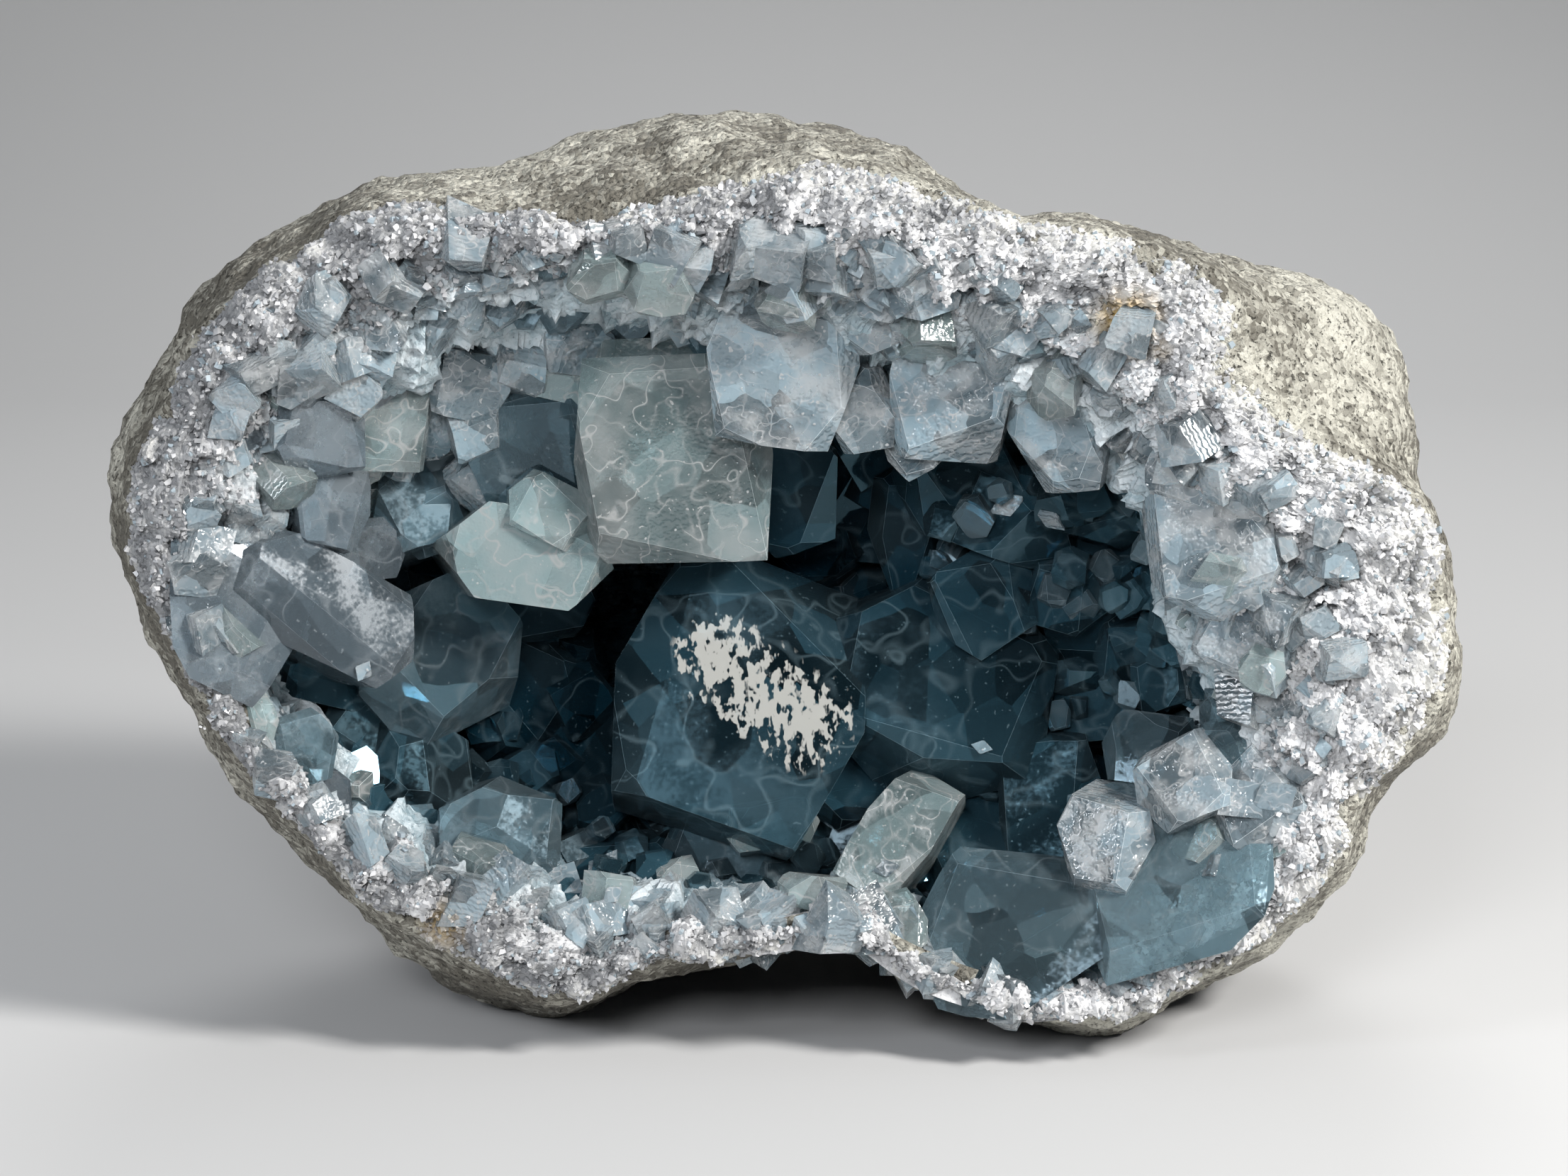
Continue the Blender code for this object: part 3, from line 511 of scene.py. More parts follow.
# right, up and behind the focus of a crystal's end face, width and height as seen, roll, length,
# share of the width left at its end, squareness, and its glass
crystals = {
    "paleKeystone": (-17, 20, -4, 29, 30, 2, 44, 0.82, 0.88, "pale"),
    "keystoneBack": (-1, 18, 14, 17, 22, 20, 30, 0.6, 0.5, "deep"),
    "upperLeftBlock": (-61, 28, -3, 12, 18, -4, 30, 0.75, 0.9, "pale"),
    "greenWedge": (-49, 36, 8, 15, 18, -12, 28, 0.5, 0.5, "pale"),
    "blueHexagon": (-39, 22, 2, 19, 16, 4, 32, 0.72, 0.7, "blue"),
    "duskyPairLeft": (-34, 43, 16, 15, 12, 24, 22, 0.5, 0.6, "deep"),
    "duskyPairRight": (-27, 39, 13, 10, 11, -10, 22, 0.5, 0.7, "deep"),
    "stripedWedge": (-34, 38, 9, 13, 8, 12, 20, 0.3, 0.5, "blue"),
    "glassyFinger": (-35, 33, 2, 16, 7, -14, 24, 0.7, 0.6, "pale"),
    "smoothDome": (-13, 46, 0, 17, 16, 8, 24, 0.55, 0.5, "blue"),
    "flatBar": (-18, 36, 1, 22, 6, 2, 24, 0.8, 0.9, "pale"),
    "frostedBlock": (0, 36, -8, 21, 25, -8, 34, 0.72, 0.75, "frosted"),
    "striatedCube": (11, 43, -8, 12, 12, 24, 22, 0.6, 0.8, "frosted"),
    "frostedSmall": (12, 28, -4, 10, 12, 10, 24, 0.6, 0.7, "frosted"),
    "frostedBroad": (26, 32, -6, 17, 22, -6, 34, 0.74, 0.85, "frosted"),
    "underFrost": (20, 22, -2, 8, 8, 30, 20, 0.6, 0.7, "frosted"),
    "brightEgg": (43, 26, -7, 15, 20, 8, 30, 0.62, 0.55, "frosted"),
    "eggNeighbour": (54, 23, -3, 9, 9, 10, 24, 0.7, 0.7, "frosted"),
    "frostedTooth": (63, 23, -13, 12, 17, -10, 28, 0.6, 0.7, "frosted"),
    "rightSlab": (66, 7, -16, 20, 20, 32, 30, 0.66, 0.6, "frosted"),
    "rightLowerSlab": (72, -6, -16, 18, 14, -30, 26, 0.6, 0.6, "frosted"),
    "paleUnderblock": (-40, 5, -3, 27, 14, -8, 34, 0.55, 0.5, "pale"),
    "striatedBlade": (-36, 12, -3, 14, 9, -26, 24, 0.6, 0.7, "pale"),
    "smokyLeftLow": (-65, 6, -3, 13, 9, 6, 22, 0.6, 0.6, "smoky"),
    "smokyLeftHigh": (-70, 13, -9, 12, 13, -16, 22, 0.6, 0.6, "smoky"),
    "blueLeftLow": (-54, 12, 4, 15, 11, 18, 24, 0.5, 0.6, "blue"),
    "blueLeftHigh": (-53, 20, 8, 10, 11, -20, 24, 0.5, 0.6, "blue"),
    "greyShoulder": (-72, 24, -13, 14, 14, 14, 22, 0.55, 0.7, "smoky"),
    "greyShoulderHigh": (-74, 34, -16, 13, 10, -20, 20, 0.5, 0.7, "smoky"),
    "greyGreenKnob": (-56, 44, -7, 10, 11, 10, 22, 0.5, 0.6, "frosted"),
    "smokyPlate": (-88, -2, -18, 26, 24, -24, 30, 0.85, 0.85, "smoky"),
    "smokyTip": (-71, -3, -13, 32, 15, -25, 30, 0.7, 0.7, "smoky"),
    "blueBoulder": (-53, -11, 4, 25, 21, 24, 36, 0.6, 0.7, "blue"),
    "boulderShadow": (-40, -14, 20, 18, 19, -8, 28, 0.5, 0.5, "deep"),
    "shadowUpper": (-40, -1, 20, 21, 13, 6, 24, 0.6, 0.6, "deep"),
    "ringedCrystal": (-75, -25, -13, 11, 10, 20, 20, 0.6, 0.5, "blue"),
    "rimKnobLeft": (-84, -21, -17, 10, 10, 6, 18, 0.55, 0.6, "pale"),
    "darkLeftHigh": (-71, -13, 2, 17, 9, -10, 22, 0.55, 0.6, "deep"),
    "darkLeftMid": (-66, -21, 3, 11, 9, 62, 22, 0.6, 0.5, "deep"),
    "darkLeftSlab": (-57, -28, 0, 18, 14, -22, 26, 0.5, 0.6, "deep"),
    "darkLeftLow": (-61, -36, -3, 14, 11, 16, 24, 0.5, 0.7, "deep"),
    "greyLeftLow": (-73, -33, -12, 12, 9, 32, 20, 0.5, 0.6, "smoky"),
    "paleGreenBlock": (-44, -39, -5, 19, 17, -24, 26, 0.6, 0.6, "blue"),
    "lipWedge": (-64, -46, -11, 7, 11, -8, 16, 0.5, 0.6, "pale"),
    "deepHexagon": (-29, -30, 18, 25, 28, -6, 34, 0.62, 0.62, "deep"),
    "darkFloor": (-26, -44, 4, 20, 12, 4, 22, 0.6, 0.6, "deep"),
    "brightChipLeft": (-20, -49, -4, 10, 7, 30, 16, 0.5, 0.6, "blue"),
    "greatBlock": (-7, -17, 3, 34, 38, -16, 46, 0.66, 0.72, "deep"),
    "violetBlock": (-11, -44, 3, 17, 10, -8, 22, 0.6, 0.8, "blue"),
    "smallGreenPost": (-16, -47, -3, 7, 10, 14, 18, 0.6, 0.8, "pale"),
    "floorChip": (-5, -51, -6, 13, 7, -6, 16, 0.5, 0.6, "blue"),
    "litFacet": (-2, -37, 1, 15, 7, 8, 20, 0.7, 0.7, "pale"),
    "greatBlue": (24, -15, 5, 33, 31, 14, 44, 0.58, 0.6, "deep"),
    "deepDome": (3, 3, 34, 20, 22, 10, 22, 0.5, 0.55, "deep"),
    "blueEave": (27, 16, 11, 20, 14, -8, 28, 0.66, 0.5, "deep"),
    "blueEaveLow": (33, 11, 8, 23, 10, -22, 26, 0.4, 0.6, "deep"),
    "bluePost": (19, 10, 18, 11, 17, 8, 24, 0.5, 0.6, "deep"),
    "tallPlane": (52, 5, 13, 24, 29, 4, 34, 0.75, 0.75, "deep"),
    "planeFoot": (42, -1, 8, 15, 9, -16, 26, 0.5, 0.6, "deep"),
    "brightEdge": (31, -2, 7, 15, 13, 34, 28, 0.5, 0.6, "deep"),
    "wedgeHigh": (55, -10, 5, 16, 9, -12, 24, 0.4, 0.5, "deep"),
    "wedgeMid": (59, -14, 1, 13, 8, 20, 22, 0.4, 0.5, "deep"),
    "wedgeRight": (65, -9, 1, 10, 15, -14, 22, 0.4, 0.5, "blue"),
    "wedgeRim": (70, -18, -9, 12, 10, 24, 20, 0.5, 0.5, "blue"),
    "rustyShadow": (49, -18, 7, 20, 10, 4, 26, 0.6, 0.6, "deep"),
    "slantedBlade": (18, -38, -4, 11, 21, -36, 26, 0.8, 0.8, "pale"),
    "bladeBack": (30, -39, 5, 16, 17, -20, 26, 0.6, 0.6, "deep"),
    "violetPlane": (42, -35, 0, 15, 23, 8, 26, 0.75, 0.75, "deep"),
    "lowDome": (35, -54, -14, 30, 24, -8, 26, 0.62, 0.55, "blue"),
    "frostedBoulder": (60, -43, -15, 30, 28, 12, 30, 0.74, 0.8, "blue"),
    "boulderFace": (50, -38, -13, 14, 17, -12, 24, 0.6, 0.6, "frosted"),
    "boulderHigh": (62, -30, -14, 15, 12, 20, 24, 0.6, 0.7, "frosted"),
    "boulderLow": (66, -54, -17, 14, 12, -16, 20, 0.6, 0.7, "pale"),
    "ridgeLeft": (57, -25, -5, 15, 10, -10, 22, 0.55, 0.7, "blue"),
    "ridgeRight": (62, -32, -9, 13, 9, 24, 20, 0.55, 0.7, "blue"),
    "rimFrost": (73, -31, -16, 16, 17, 30, 22, 0.6, 0.7, "frosted"),
    "rimChip": (68, -25, -12, 9, 8, 10, 18, 0.5, 0.6, "blue"),
    "clearNub": (18, -53, -12, 9, 12, 14, 14, 0.5, 0.6, "pale"),
    "greenFloor": (8, -41, 8, 14, 17, -6, 22, 0.7, 0.7, "blue"),
    "darkGap": (10, -30, 8, 14, 11, 24, 22, 0.5, 0.6, "deep"),
    "footChip": (58, -61, -12, 12, 7, 6, 14, 0.5, 0.6, "pale"),
}


def heroSolids():
    # the named crystals, each leaning in towards the hollow's middle
    made = []
    shapeSeed, nickSeed = crystalHabit["seeds"]
    for i, line in enumerate(crystals.values()):
        right, up, behind, width, height, roll, length, endShare, squareness, kind = line
        axes = np.array([seenRight, seenUp, -sightLine])
        axes = turned(axes[2], axes, roll)
        axes = turned(seenUp, axes, -crystalHabit["lean"] * right)
        axes = turned(seenRight, axes, crystalHabit["lean"] * (up - middle[1]))
        tip = asSeen(right, up, behind)
        bevels = 4 if min(width, height) > crystalHabit["broad"] else 3
        # no crystal reaches further out than the rim's own edge
        out = np.array([right, up]) - middle
        reach = loopRadius(stoneShape["skinEdge"], np.arctan2(out[1:], out[:1]))[0]
        out = out / np.hypot(*out)
        outAxis = axes @ (out[0] * seenRight + out[1] * seenUp)
        room = reach - crystalHabit["inset"] - out @ (np.array([right, up]) - middle)
        broader = crystalHabit["broader"][kind]
        corners, faces = oneCrystal(
            (width * broader, height * broader), length, endShare, squareness,
            np.random.RandomState(shapeSeed + i), bevels,
            crystalHabit["nicks"], np.random.RandomState(nickSeed + i), (outAxis, room),
        )
        made.append((kind, tip, axes, rooted(tip, axes, corners), faces, i))
    return made


# each pair gives the ones on the rim's inner slope first, and then the ones on the wall
fillers = {
    "count": (15, 9), "rows": ((7.5, 8.1), (8.6, 11.0)), "glass": ("pale", "deep"),
    "off": (0, 4.0), "stand": ((4, 6), (3, 7)),  # the lining's thickness, and how far past it
    "turn": 2.39996,  # the golden angle from one to the next, which spreads them evenly
    "turnJitter": 0.3, "lean": 0.35, "width": (8, 13), "narrower": (0.6, 1.0),
    "root": 3, "endShare": (0.3, 0.7), "squareness": 0.6, "bevels": 2, "nicks": 3,
    "patch": (0.04, 0.1),  # radians and stations round its place that tell how the wall faces
    "seed": 11, "nickSeed": 700, "ownFrom": 200,
}


def fillerSolids():
    # smaller crystals on the rim's inner slope and the wall, each standing nearly square to it
    pick = np.random.RandomState(fillers["seed"])
    onRim, total = fillers["count"][0], sum(fillers["count"])
    jitter, lean = fillers["turnJitter"], fillers["lean"]
    angle = np.arange(total) * fillers["turn"] + pick.uniform(-jitter, jitter, total)
    rimRows, wallRows = (pick.uniform(low, high, total) for low, high in fillers["rows"])
    place = np.where(np.arange(total) < onRim, rimRows, wallRows)
    aside, along = (np.array([-1, 0, 1]) * step for step in fillers["patch"])
    made = []
    for i in range(total):
        part = int(i >= onRim)
        patch = stoneSurface(angle[i] + aside, place[i] + along)
        ahead = unit(outward(patch)[1, 1] + pick.uniform(-lean, lean, 3))
        side = unit(np.cross(ahead, pick.uniform(-1, 1, 3)))
        axes = np.array([side, np.cross(ahead, side), ahead])
        width = pick.uniform(*fillers["width"])
        size = width, width * pick.uniform(*fillers["narrower"])
        stand = fillers["off"][part] + pick.uniform(*fillers["stand"][part])
        tip = patch[1, 1] + ahead * stand
        corners, faces = oneCrystal(
            size, stand + fillers["root"], pick.uniform(*fillers["endShare"]),
            fillers["squareness"], pick, fillers["bevels"], fillers["nicks"],
            np.random.RandomState(fillers["nickSeed"] + i),
        )
        corners = rooted(tip, axes, corners)
        made.append((fillers["glass"][part], tip, axes, corners, faces, fillers["ownFrom"] + i))
    return made


carpets = {
    # shares of the way from the middle to the mouth, spacing, jitter, widths, length, how far
    # behind the focus they end at each share and how much that varies, seed, and the directions
    # in degrees that they are kept to
    "middle": {
        "shares": (0.0, 0.82), "spacing": 9.5, "jitter": 3.0, "width": (10, 15), "length": 26,
        "behind": ((0, 32), (0.4, 25), (0.7, 16), (0.82, 9)), "spread": 6.0, "seed": 61,
    },
    "edge": {
        "shares": (0.76, 1.13), "spacing": 6.2, "jitter": 2.4, "width": (5.5, 10), "length": 17,
        "behind": ((0.76, 18), (0.88, 6), (0.96, -3), (1.02, -9.5), (1.13, -16.5)), "spread": 3.0,
        "seed": 62,
    },
    "shards": {
        "shares": (0.35, 1.0), "spacing": 5.4, "jitter": 2.4, "width": (3.5, 7.5), "length": 16,
        "behind": ((0.35, 12), (0.7, 7), (0.9, 0), (1.0, -8)), "spread": 6.0, "seed": 63,
        "turn": (-48, 22),
    },
    "floorShards": {
        "shares": (0.72, 1.0), "spacing": 5.2, "jitter": 2.4, "width": (3.5, 7.5), "length": 16,
        "behind": ((0.72, 10), (0.9, 0), (1.0, -8)), "spread": 5.0, "seed": 64,
        "turn": (-160, -60),
    },
}
carpetHabit = {
    "span": 110, "rowShare": 0.87,  # how far the grid goes, and its rows' spacing
    "margin": 7.5,  # how far inside the skin's edge they stay
    "tilt": 22,  # degrees at most that each leans in its own way
    "forward": 13.0, "forwardFade": 0.3,  # how much further forward the pale ones end
    # at five shares of the way to the mouth, the station that tells which glass grows there
    "stations": ((0.4, 0.8, 0.95, 1.0, 1.15), (10.6, 9.5, 8.7, 8.1, 7.4)),
    "doubt": (0.2, 0.8),  # the paleness from which, and up to which, either glass may grow
    "glass": (("deep", "deep", "blue", "deep"), ("pale", "frosted", "blue", "frosted", "smoky")),
    "narrower": (0.7, 1.1), "endShare": (0.35, 0.75), "squareness": (0.5, 0.85),
    "bevels": 3, "nicks": 2, "ownStep": 20,
    # right, up and reach of the places where none of these stand
    "darkPlaces": (
        (-28, 1, 9), (-26, -8, 7), (8, 22, 7), (-40, 37, 3), (-20, -24, 5), (40, 8, 5),
        (-82, -6, 12),
    ),
}


def carpetPlaces(spacing, jitter, pick):
    # a grid with every other row moved by half a step, and then each place by a random bit
    along = np.arange(-carpetHabit["span"], carpetHabit["span"], spacing)
    places = np.array([
        (x + (k % 2) * spacing / 2, y * carpetHabit["rowShare"])
        for k, y in enumerate(along) for x in along
    ])
    return places + pick.uniform(-jitter, jitter, places.shape)


def carpetSolids():
    # crystals on that grid over the whole mouth, as seen, leaning in like the named ones; the
    # ones on the pale stretch are pale, frosted, blue or smoky, and the others deep or blue
    made = []
    tilt = carpetHabit["tilt"]
    for plan in carpets.values():
        pick = np.random.RandomState(plan["seed"])
        places = carpetPlaces(plan["spacing"], plan["jitter"], pick)
        angle = np.arctan2(places[:, 1], places[:, 0])
        share = np.hypot(*places.T) / loopRadius(stoneShape["mouth"], angle)
        low, high = plan["shares"]
        behind = np.interp(share, *np.array(plan["behind"], float).T)
        pale = paleness(angle, np.interp(share, *carpetHabit["stations"]))
        first, last = np.radians(plan.get("turn", (-180, 180)))
        for i in np.flatnonzero((share > low) & (share < high) & (angle > first) & (angle < last)):
            right, up = places[i] + middle
            if any(math.hypot(right - x, up - y) < r for x, y, r in carpetHabit["darkPlaces"]):
                continue
            edge = loopRadius(stoneShape["skinEdge"], angle[i:i + 1])[0]
            if np.hypot(*places[i]) > edge - carpetHabit["margin"]:
                continue
            depth = behind[i] + pick.uniform(-plan["spread"], plan["spread"]) / 2
            forward = np.clip((1.0 - share[i]) / carpetHabit["forwardFade"], 0, 1)
            depth -= carpetHabit["forward"] * pale[i] * forward
            width = pick.uniform(*plan["width"])
            size = width, width * pick.uniform(*carpetHabit["narrower"])
            axes = np.array([seenRight, seenUp, -sightLine])
            axes = turned(-sightLine, axes, pick.uniform(-90, 90))
            sideways = -crystalHabit["lean"] * right + pick.uniform(-tilt, tilt)
            axes = turned(seenUp, axes, sideways)
            upward = crystalHabit["lean"] * (up - middle[1]) + pick.uniform(-tilt, tilt)
            axes = turned(seenRight, axes, upward)
            corners, faces = oneCrystal(
                size, plan["length"], pick.uniform(*carpetHabit["endShare"]),
                pick.uniform(*carpetHabit["squareness"]), pick, carpetHabit["bevels"],
                carpetHabit["nicks"], pick,
            )
            # pale kinds of glass where the place is pale and deep ones elsewhere: partly painted
            # light and shade
            kinds = carpetHabit["glass"][int(pale[i] > pick.uniform(*carpetHabit["doubt"]))]
            kind = kinds[pick.randint(len(kinds))]
            tip = asSeen(right, up, depth)
            corners = rooted(tip, axes, corners)
            number = plan["seed"] * carpetHabit["ownStep"] + i
            made.append((kind, tip, axes, corners, faces, number))
    return made


# thin pale flakes that lie on the crystals: painted glints, standing in for light mirrored off
# small facets
glintFlakes = {
    "places": (  # right, up, width, height, roll
        (35, 13, 7.0, 4.2, 24), (42, 10.5, 6.0, 3.4, -30), (16, -44, 5.0, 3.0, 10),
        (-27, -48, 4.5, 3.0, 35), (-66, -13, 4.0, 3.0, 60), (31, -25, 4.0, 2.4, -15),
    ),
    "thick": 1.2, "endShare": 0.9, "squareness": 0.1, "bevels": 2, "nicks": 2,
    "lift": 0.5,  # how far each stands out of the face that it lies on
    "glass": "frosted", "seed": 900, "ownFrom": 950,
}


def glintFlakeSolids(solids):
    # each flake, a painted glint, lies on the face that is seen at its place
    points, faces = joinSolids(solids)[:2]
    tree = BVHTree.FromPolygons(points.tolist(), faces)
    made = []
    for i, (right, up, width, height, roll) in enumerate(glintFlakes["places"]):
        ray = unit(asSeen(right, up, 0.0) - eye)
        hit, normal, _, _ = tree.ray_cast(Vector(eye), Vector(ray))
        ahead = np.array(normal) * -np.sign(np.dot(normal, ray))
        side = unit(seenRight - (seenRight @ ahead) * ahead)
        axes = turned(ahead, np.array([side, np.cross(ahead, side), ahead]), roll)
        pick = np.random.RandomState(glintFlakes["seed"] + i)
        corners, sides = oneCrystal(
            (width, height), glintFlakes["thick"], glintFlakes["endShare"], glintFlakes["squareness"], pick,
            glintFlakes["bevels"], glintFlakes["nicks"], pick,
        )
        tip = np.array(hit) + ahead * glintFlakes["lift"]
        made.append((glintFlakes["glass"], tip, axes, corners, sides, glintFlakes["ownFrom"] + i))
    return made


def joinSolids(solids):
    # several bodies' corners and faces as one list, with each corner's place in its own crystal
    points, faces, own, tone, count = [], [], [], [], 0
    for _, tip, axes, corners, sides, number in solids:
        points.append(tip + corners @ axes)
        faces += [[corner + count for corner in side] for side in sides]
        own.append(corners + number * ownStep)
        tone.append(np.full(len(corners), (number * toneStep) % 1.0))
        count += len(corners)
    return np.vstack(points), faces, np.vstack(own), np.concatenate(tone)


# fine pieces: many small faceted chips on a surface
chipHabit = {
    "skew": 0.28, "sides": (0.62, 0.85), "cuts": (0.72, 0.95),  # how far out its planes lie
    "stretch": 1.25,  # along the way it stands
}


def chipShapes(count, cuts, seed, flatness):
    # a few small faceted bodies: a skewed block whose corners random planes cut off, squashed
    shapes = []
    pick = np.random.RandomState(seed)
    while len(shapes) < count:
        skew = pick.uniform(-chipHabit["skew"], chipHabit["skew"], (6, 3))
        block = unit(np.vstack([np.eye(3), -np.eye(3)]) + skew)
        normals = np.vstack([block, unit(pick.normal(size=(cuts, 3)))])
        reach = pick.uniform(*chipHabit["sides"], 6), pick.uniform(*chipHabit["cuts"], cuts)
        offsets = np.concatenate(reach)
        corners, faces = facetedSolid(normals, offsets)
        triangles = [[side[0], b, c] for side in faces for b, c in zip(side[1:-1], side[2:])]
        if len(triangles) != 2 * len(corners) - 4:  # it isn't closed
            continue
        shapes.append((corners * (1, flatness, chipHabit["stretch"]), np.array(triangles)))
    return shapes


def spots(surface, rowLow, rowHigh, count, pick):
    # random places on a surface between two stations, each quad as likely as its area
    grid, normals, row = surface
    inRows = np.flatnonzero((row[:-1] >= rowLow) & (row[1:] <= rowHigh))
    corner = grid[inRows]
    down = grid[inRows + 1] - corner
    over = np.roll(grid, -1, axis=1)[inRows] - corner
    area = np.linalg.norm(np.cross(down, over), axis=-1)
    chosen = pick.choice(area.size, count, p=(area / area.sum()).ravel())
    i, j = np.unravel_index(chosen, area.shape)
    a, b = pick.uniform(0, 1, (2, count))
    place = corner[i, j] + down[i, j] * a[:, None] + over[i, j] * b[:, None]
    return place, normals[inRows][i, j]


def scattered(shapes, places, normals, sizes, pick, spread, sink):
    # every chip: a shape turned at random about the surface's normal, scaled, and sunk a little
    ahead = unit(normals + pick.normal(size=normals.shape) * spread)
    side = unit(np.cross(ahead, pick.normal(size=normals.shape)))
    axes = np.stack([side, np.cross(ahead, side), ahead], axis=1)
    kind = pick.randint(0, len(shapes), len(places))
    tone = pick.uniform(0, 1, len(places))
    points, faces, own, tones, count = [], [], [], [], 0
    for k, (corners, triangles) in enumerate(shapes):
        these = np.flatnonzero(kind == k)
        local = corners[None] * sizes[these][:, None, None]
        world = np.einsum("nij,njk->nik", local, axes[these])
        world += (places[these] + ahead[these] * (sizes[these] * sink)[:, None])[:, None]
        step = (np.arange(len(these)) * len(corners))[:, None, None]
        faces.append((triangles[None] + step + count).reshape(-1, 3))
        points.append(world.reshape(-1, 3))
        own.append((local + these[:, None, None] * chipStep).reshape(-1, 3))
        tones.append(np.repeat(tone[these], len(corners)))
        count += len(these) * len(corners)
    return np.vstack(points), np.vstack(faces), np.vstack(own), np.concatenate(tones)


def chipPiece(name, plan, surface, shapes, material):
    # chips between two of the surface's rows, most of them small: least + (most - least) x square
    pick = np.random.RandomState(plan["seed"])
    place, normal = spots(surface, *plan["rows"], plan["count"], pick)
    least, most = plan["size"]
    sizes = least + (most - least) * pick.uniform(0, 1, len(place)) ** 2
    place = place + normal * plan["lift"]
    points, faces, own, tone = scattered(
        shapes, place, normal, sizes, pick, plan["spread"], plan["sink"],
    )
    return putMesh(name, points, faces, material, own=own, values=(("tone", tone),))


# shader groups


def newGroup(name, inputs, outputs):
    # an empty node group with those sockets, each input with its default
    group = bpy.data.node_groups.new(name, "ShaderNodeTree")
    kinds = {"value": "NodeSocketFloat", "vector": "NodeSocketVector"}
    for title, (kind, default) in inputs.items():
        socket = group.interface.new_socket(title, in_out="INPUT", socket_type=kinds[kind])
        if default is not None:
            socket.default_value = default
    for title, kind in outputs.items():
        group.interface.new_socket(title, in_out="OUTPUT", socket_type=kinds[kind])
    return group, group.nodes.new("NodeGroupInput"), group.nodes.new("NodeGroupOutput")


def feed(tree, value, socket):
    # a link where the value is another node's socket, otherwise the socket's own number
    if isinstance(value, bpy.types.NodeSocket):
        tree.links.new(value, socket)
    else:
        socket.default_value = value


def node(tree, kind, inputs=None, **settings):
    # a new node with its settings made and its inputs fed
    made = tree.nodes.new(kind)
    for key, value in settings.items():
        setattr(made, key, value)
    for key, value in (inputs or {}).items():
        feed(tree, value, made.inputs[key])
    return made


def maths(tree, operation, first, second=0.5, clamp=False):
    # one step of arithmetic; an operation of one value leaves the second alone
    made = node(tree, "ShaderNodeMath", {0: first, 1: second}, operation=operation)
    made.use_clamp = clamp
    return made.outputs[0]


def mixed(tree, share, low, high, blend="MIX"):
    # a mix node has a set of sockets for each type: 0 is the colours' share, 6 and 7 the colours
    inputs = {0: share, 6: low, 7: high}
    made = node(tree, "ShaderNodeMix", inputs, data_type="RGBA", blend_type=blend)
    return made.outputs[2]


def ranged(tree, value, low, high, start=0.0, end=1.0):
    # low to high becomes start to end, and stays there outside them
    inputs = {"Value": value, "From Min": low, "From Max": high, "To Min": start, "To Max": end}
    return node(tree, "ShaderNodeMapRange", inputs).outputs["Result"]


def noise(tree, vector, scale, detail, rough):
    # cloudy noise, with scale as waves in each millimetre
    inputs = {"Vector": vector, "Scale": scale, "Detail": detail, "Roughness": rough}
    return node(tree, "ShaderNodeTexNoise", inputs)


veilPattern = {
    "veinNoise": (2.0, 0.6), "pitNoise": (1.0, 0.7),  # detail and roughness
    "waves": 0.9,  # of the noise, in each vein size
    "widths": (0.016, 0.026), "second": 0.6,  # of the two kinds of vein, and the second's share
    "warp": 2.5,  # how far the inner faces' places are pushed
    "veined": (0.34, 0.50), "pits": (0.69, 0.73), "clouds": (0.45, 0.68), "frost": (0.62, 0.80),
    "bend": 1.5, "stripes": 0.12,  # how much the pits bend the stripes, and the stripes' height
    "frostPits": 0.35,
}
gritPattern = {
    "blotches": (0.12, 3.0, 0.62), "fine": (1.3, 3.0, 0.7),  # waves in a grain, detail, roughness
    "specks": (0.58, 0.68),
    "grainHeight": -0.8, "speckDepth": 0.9,
}


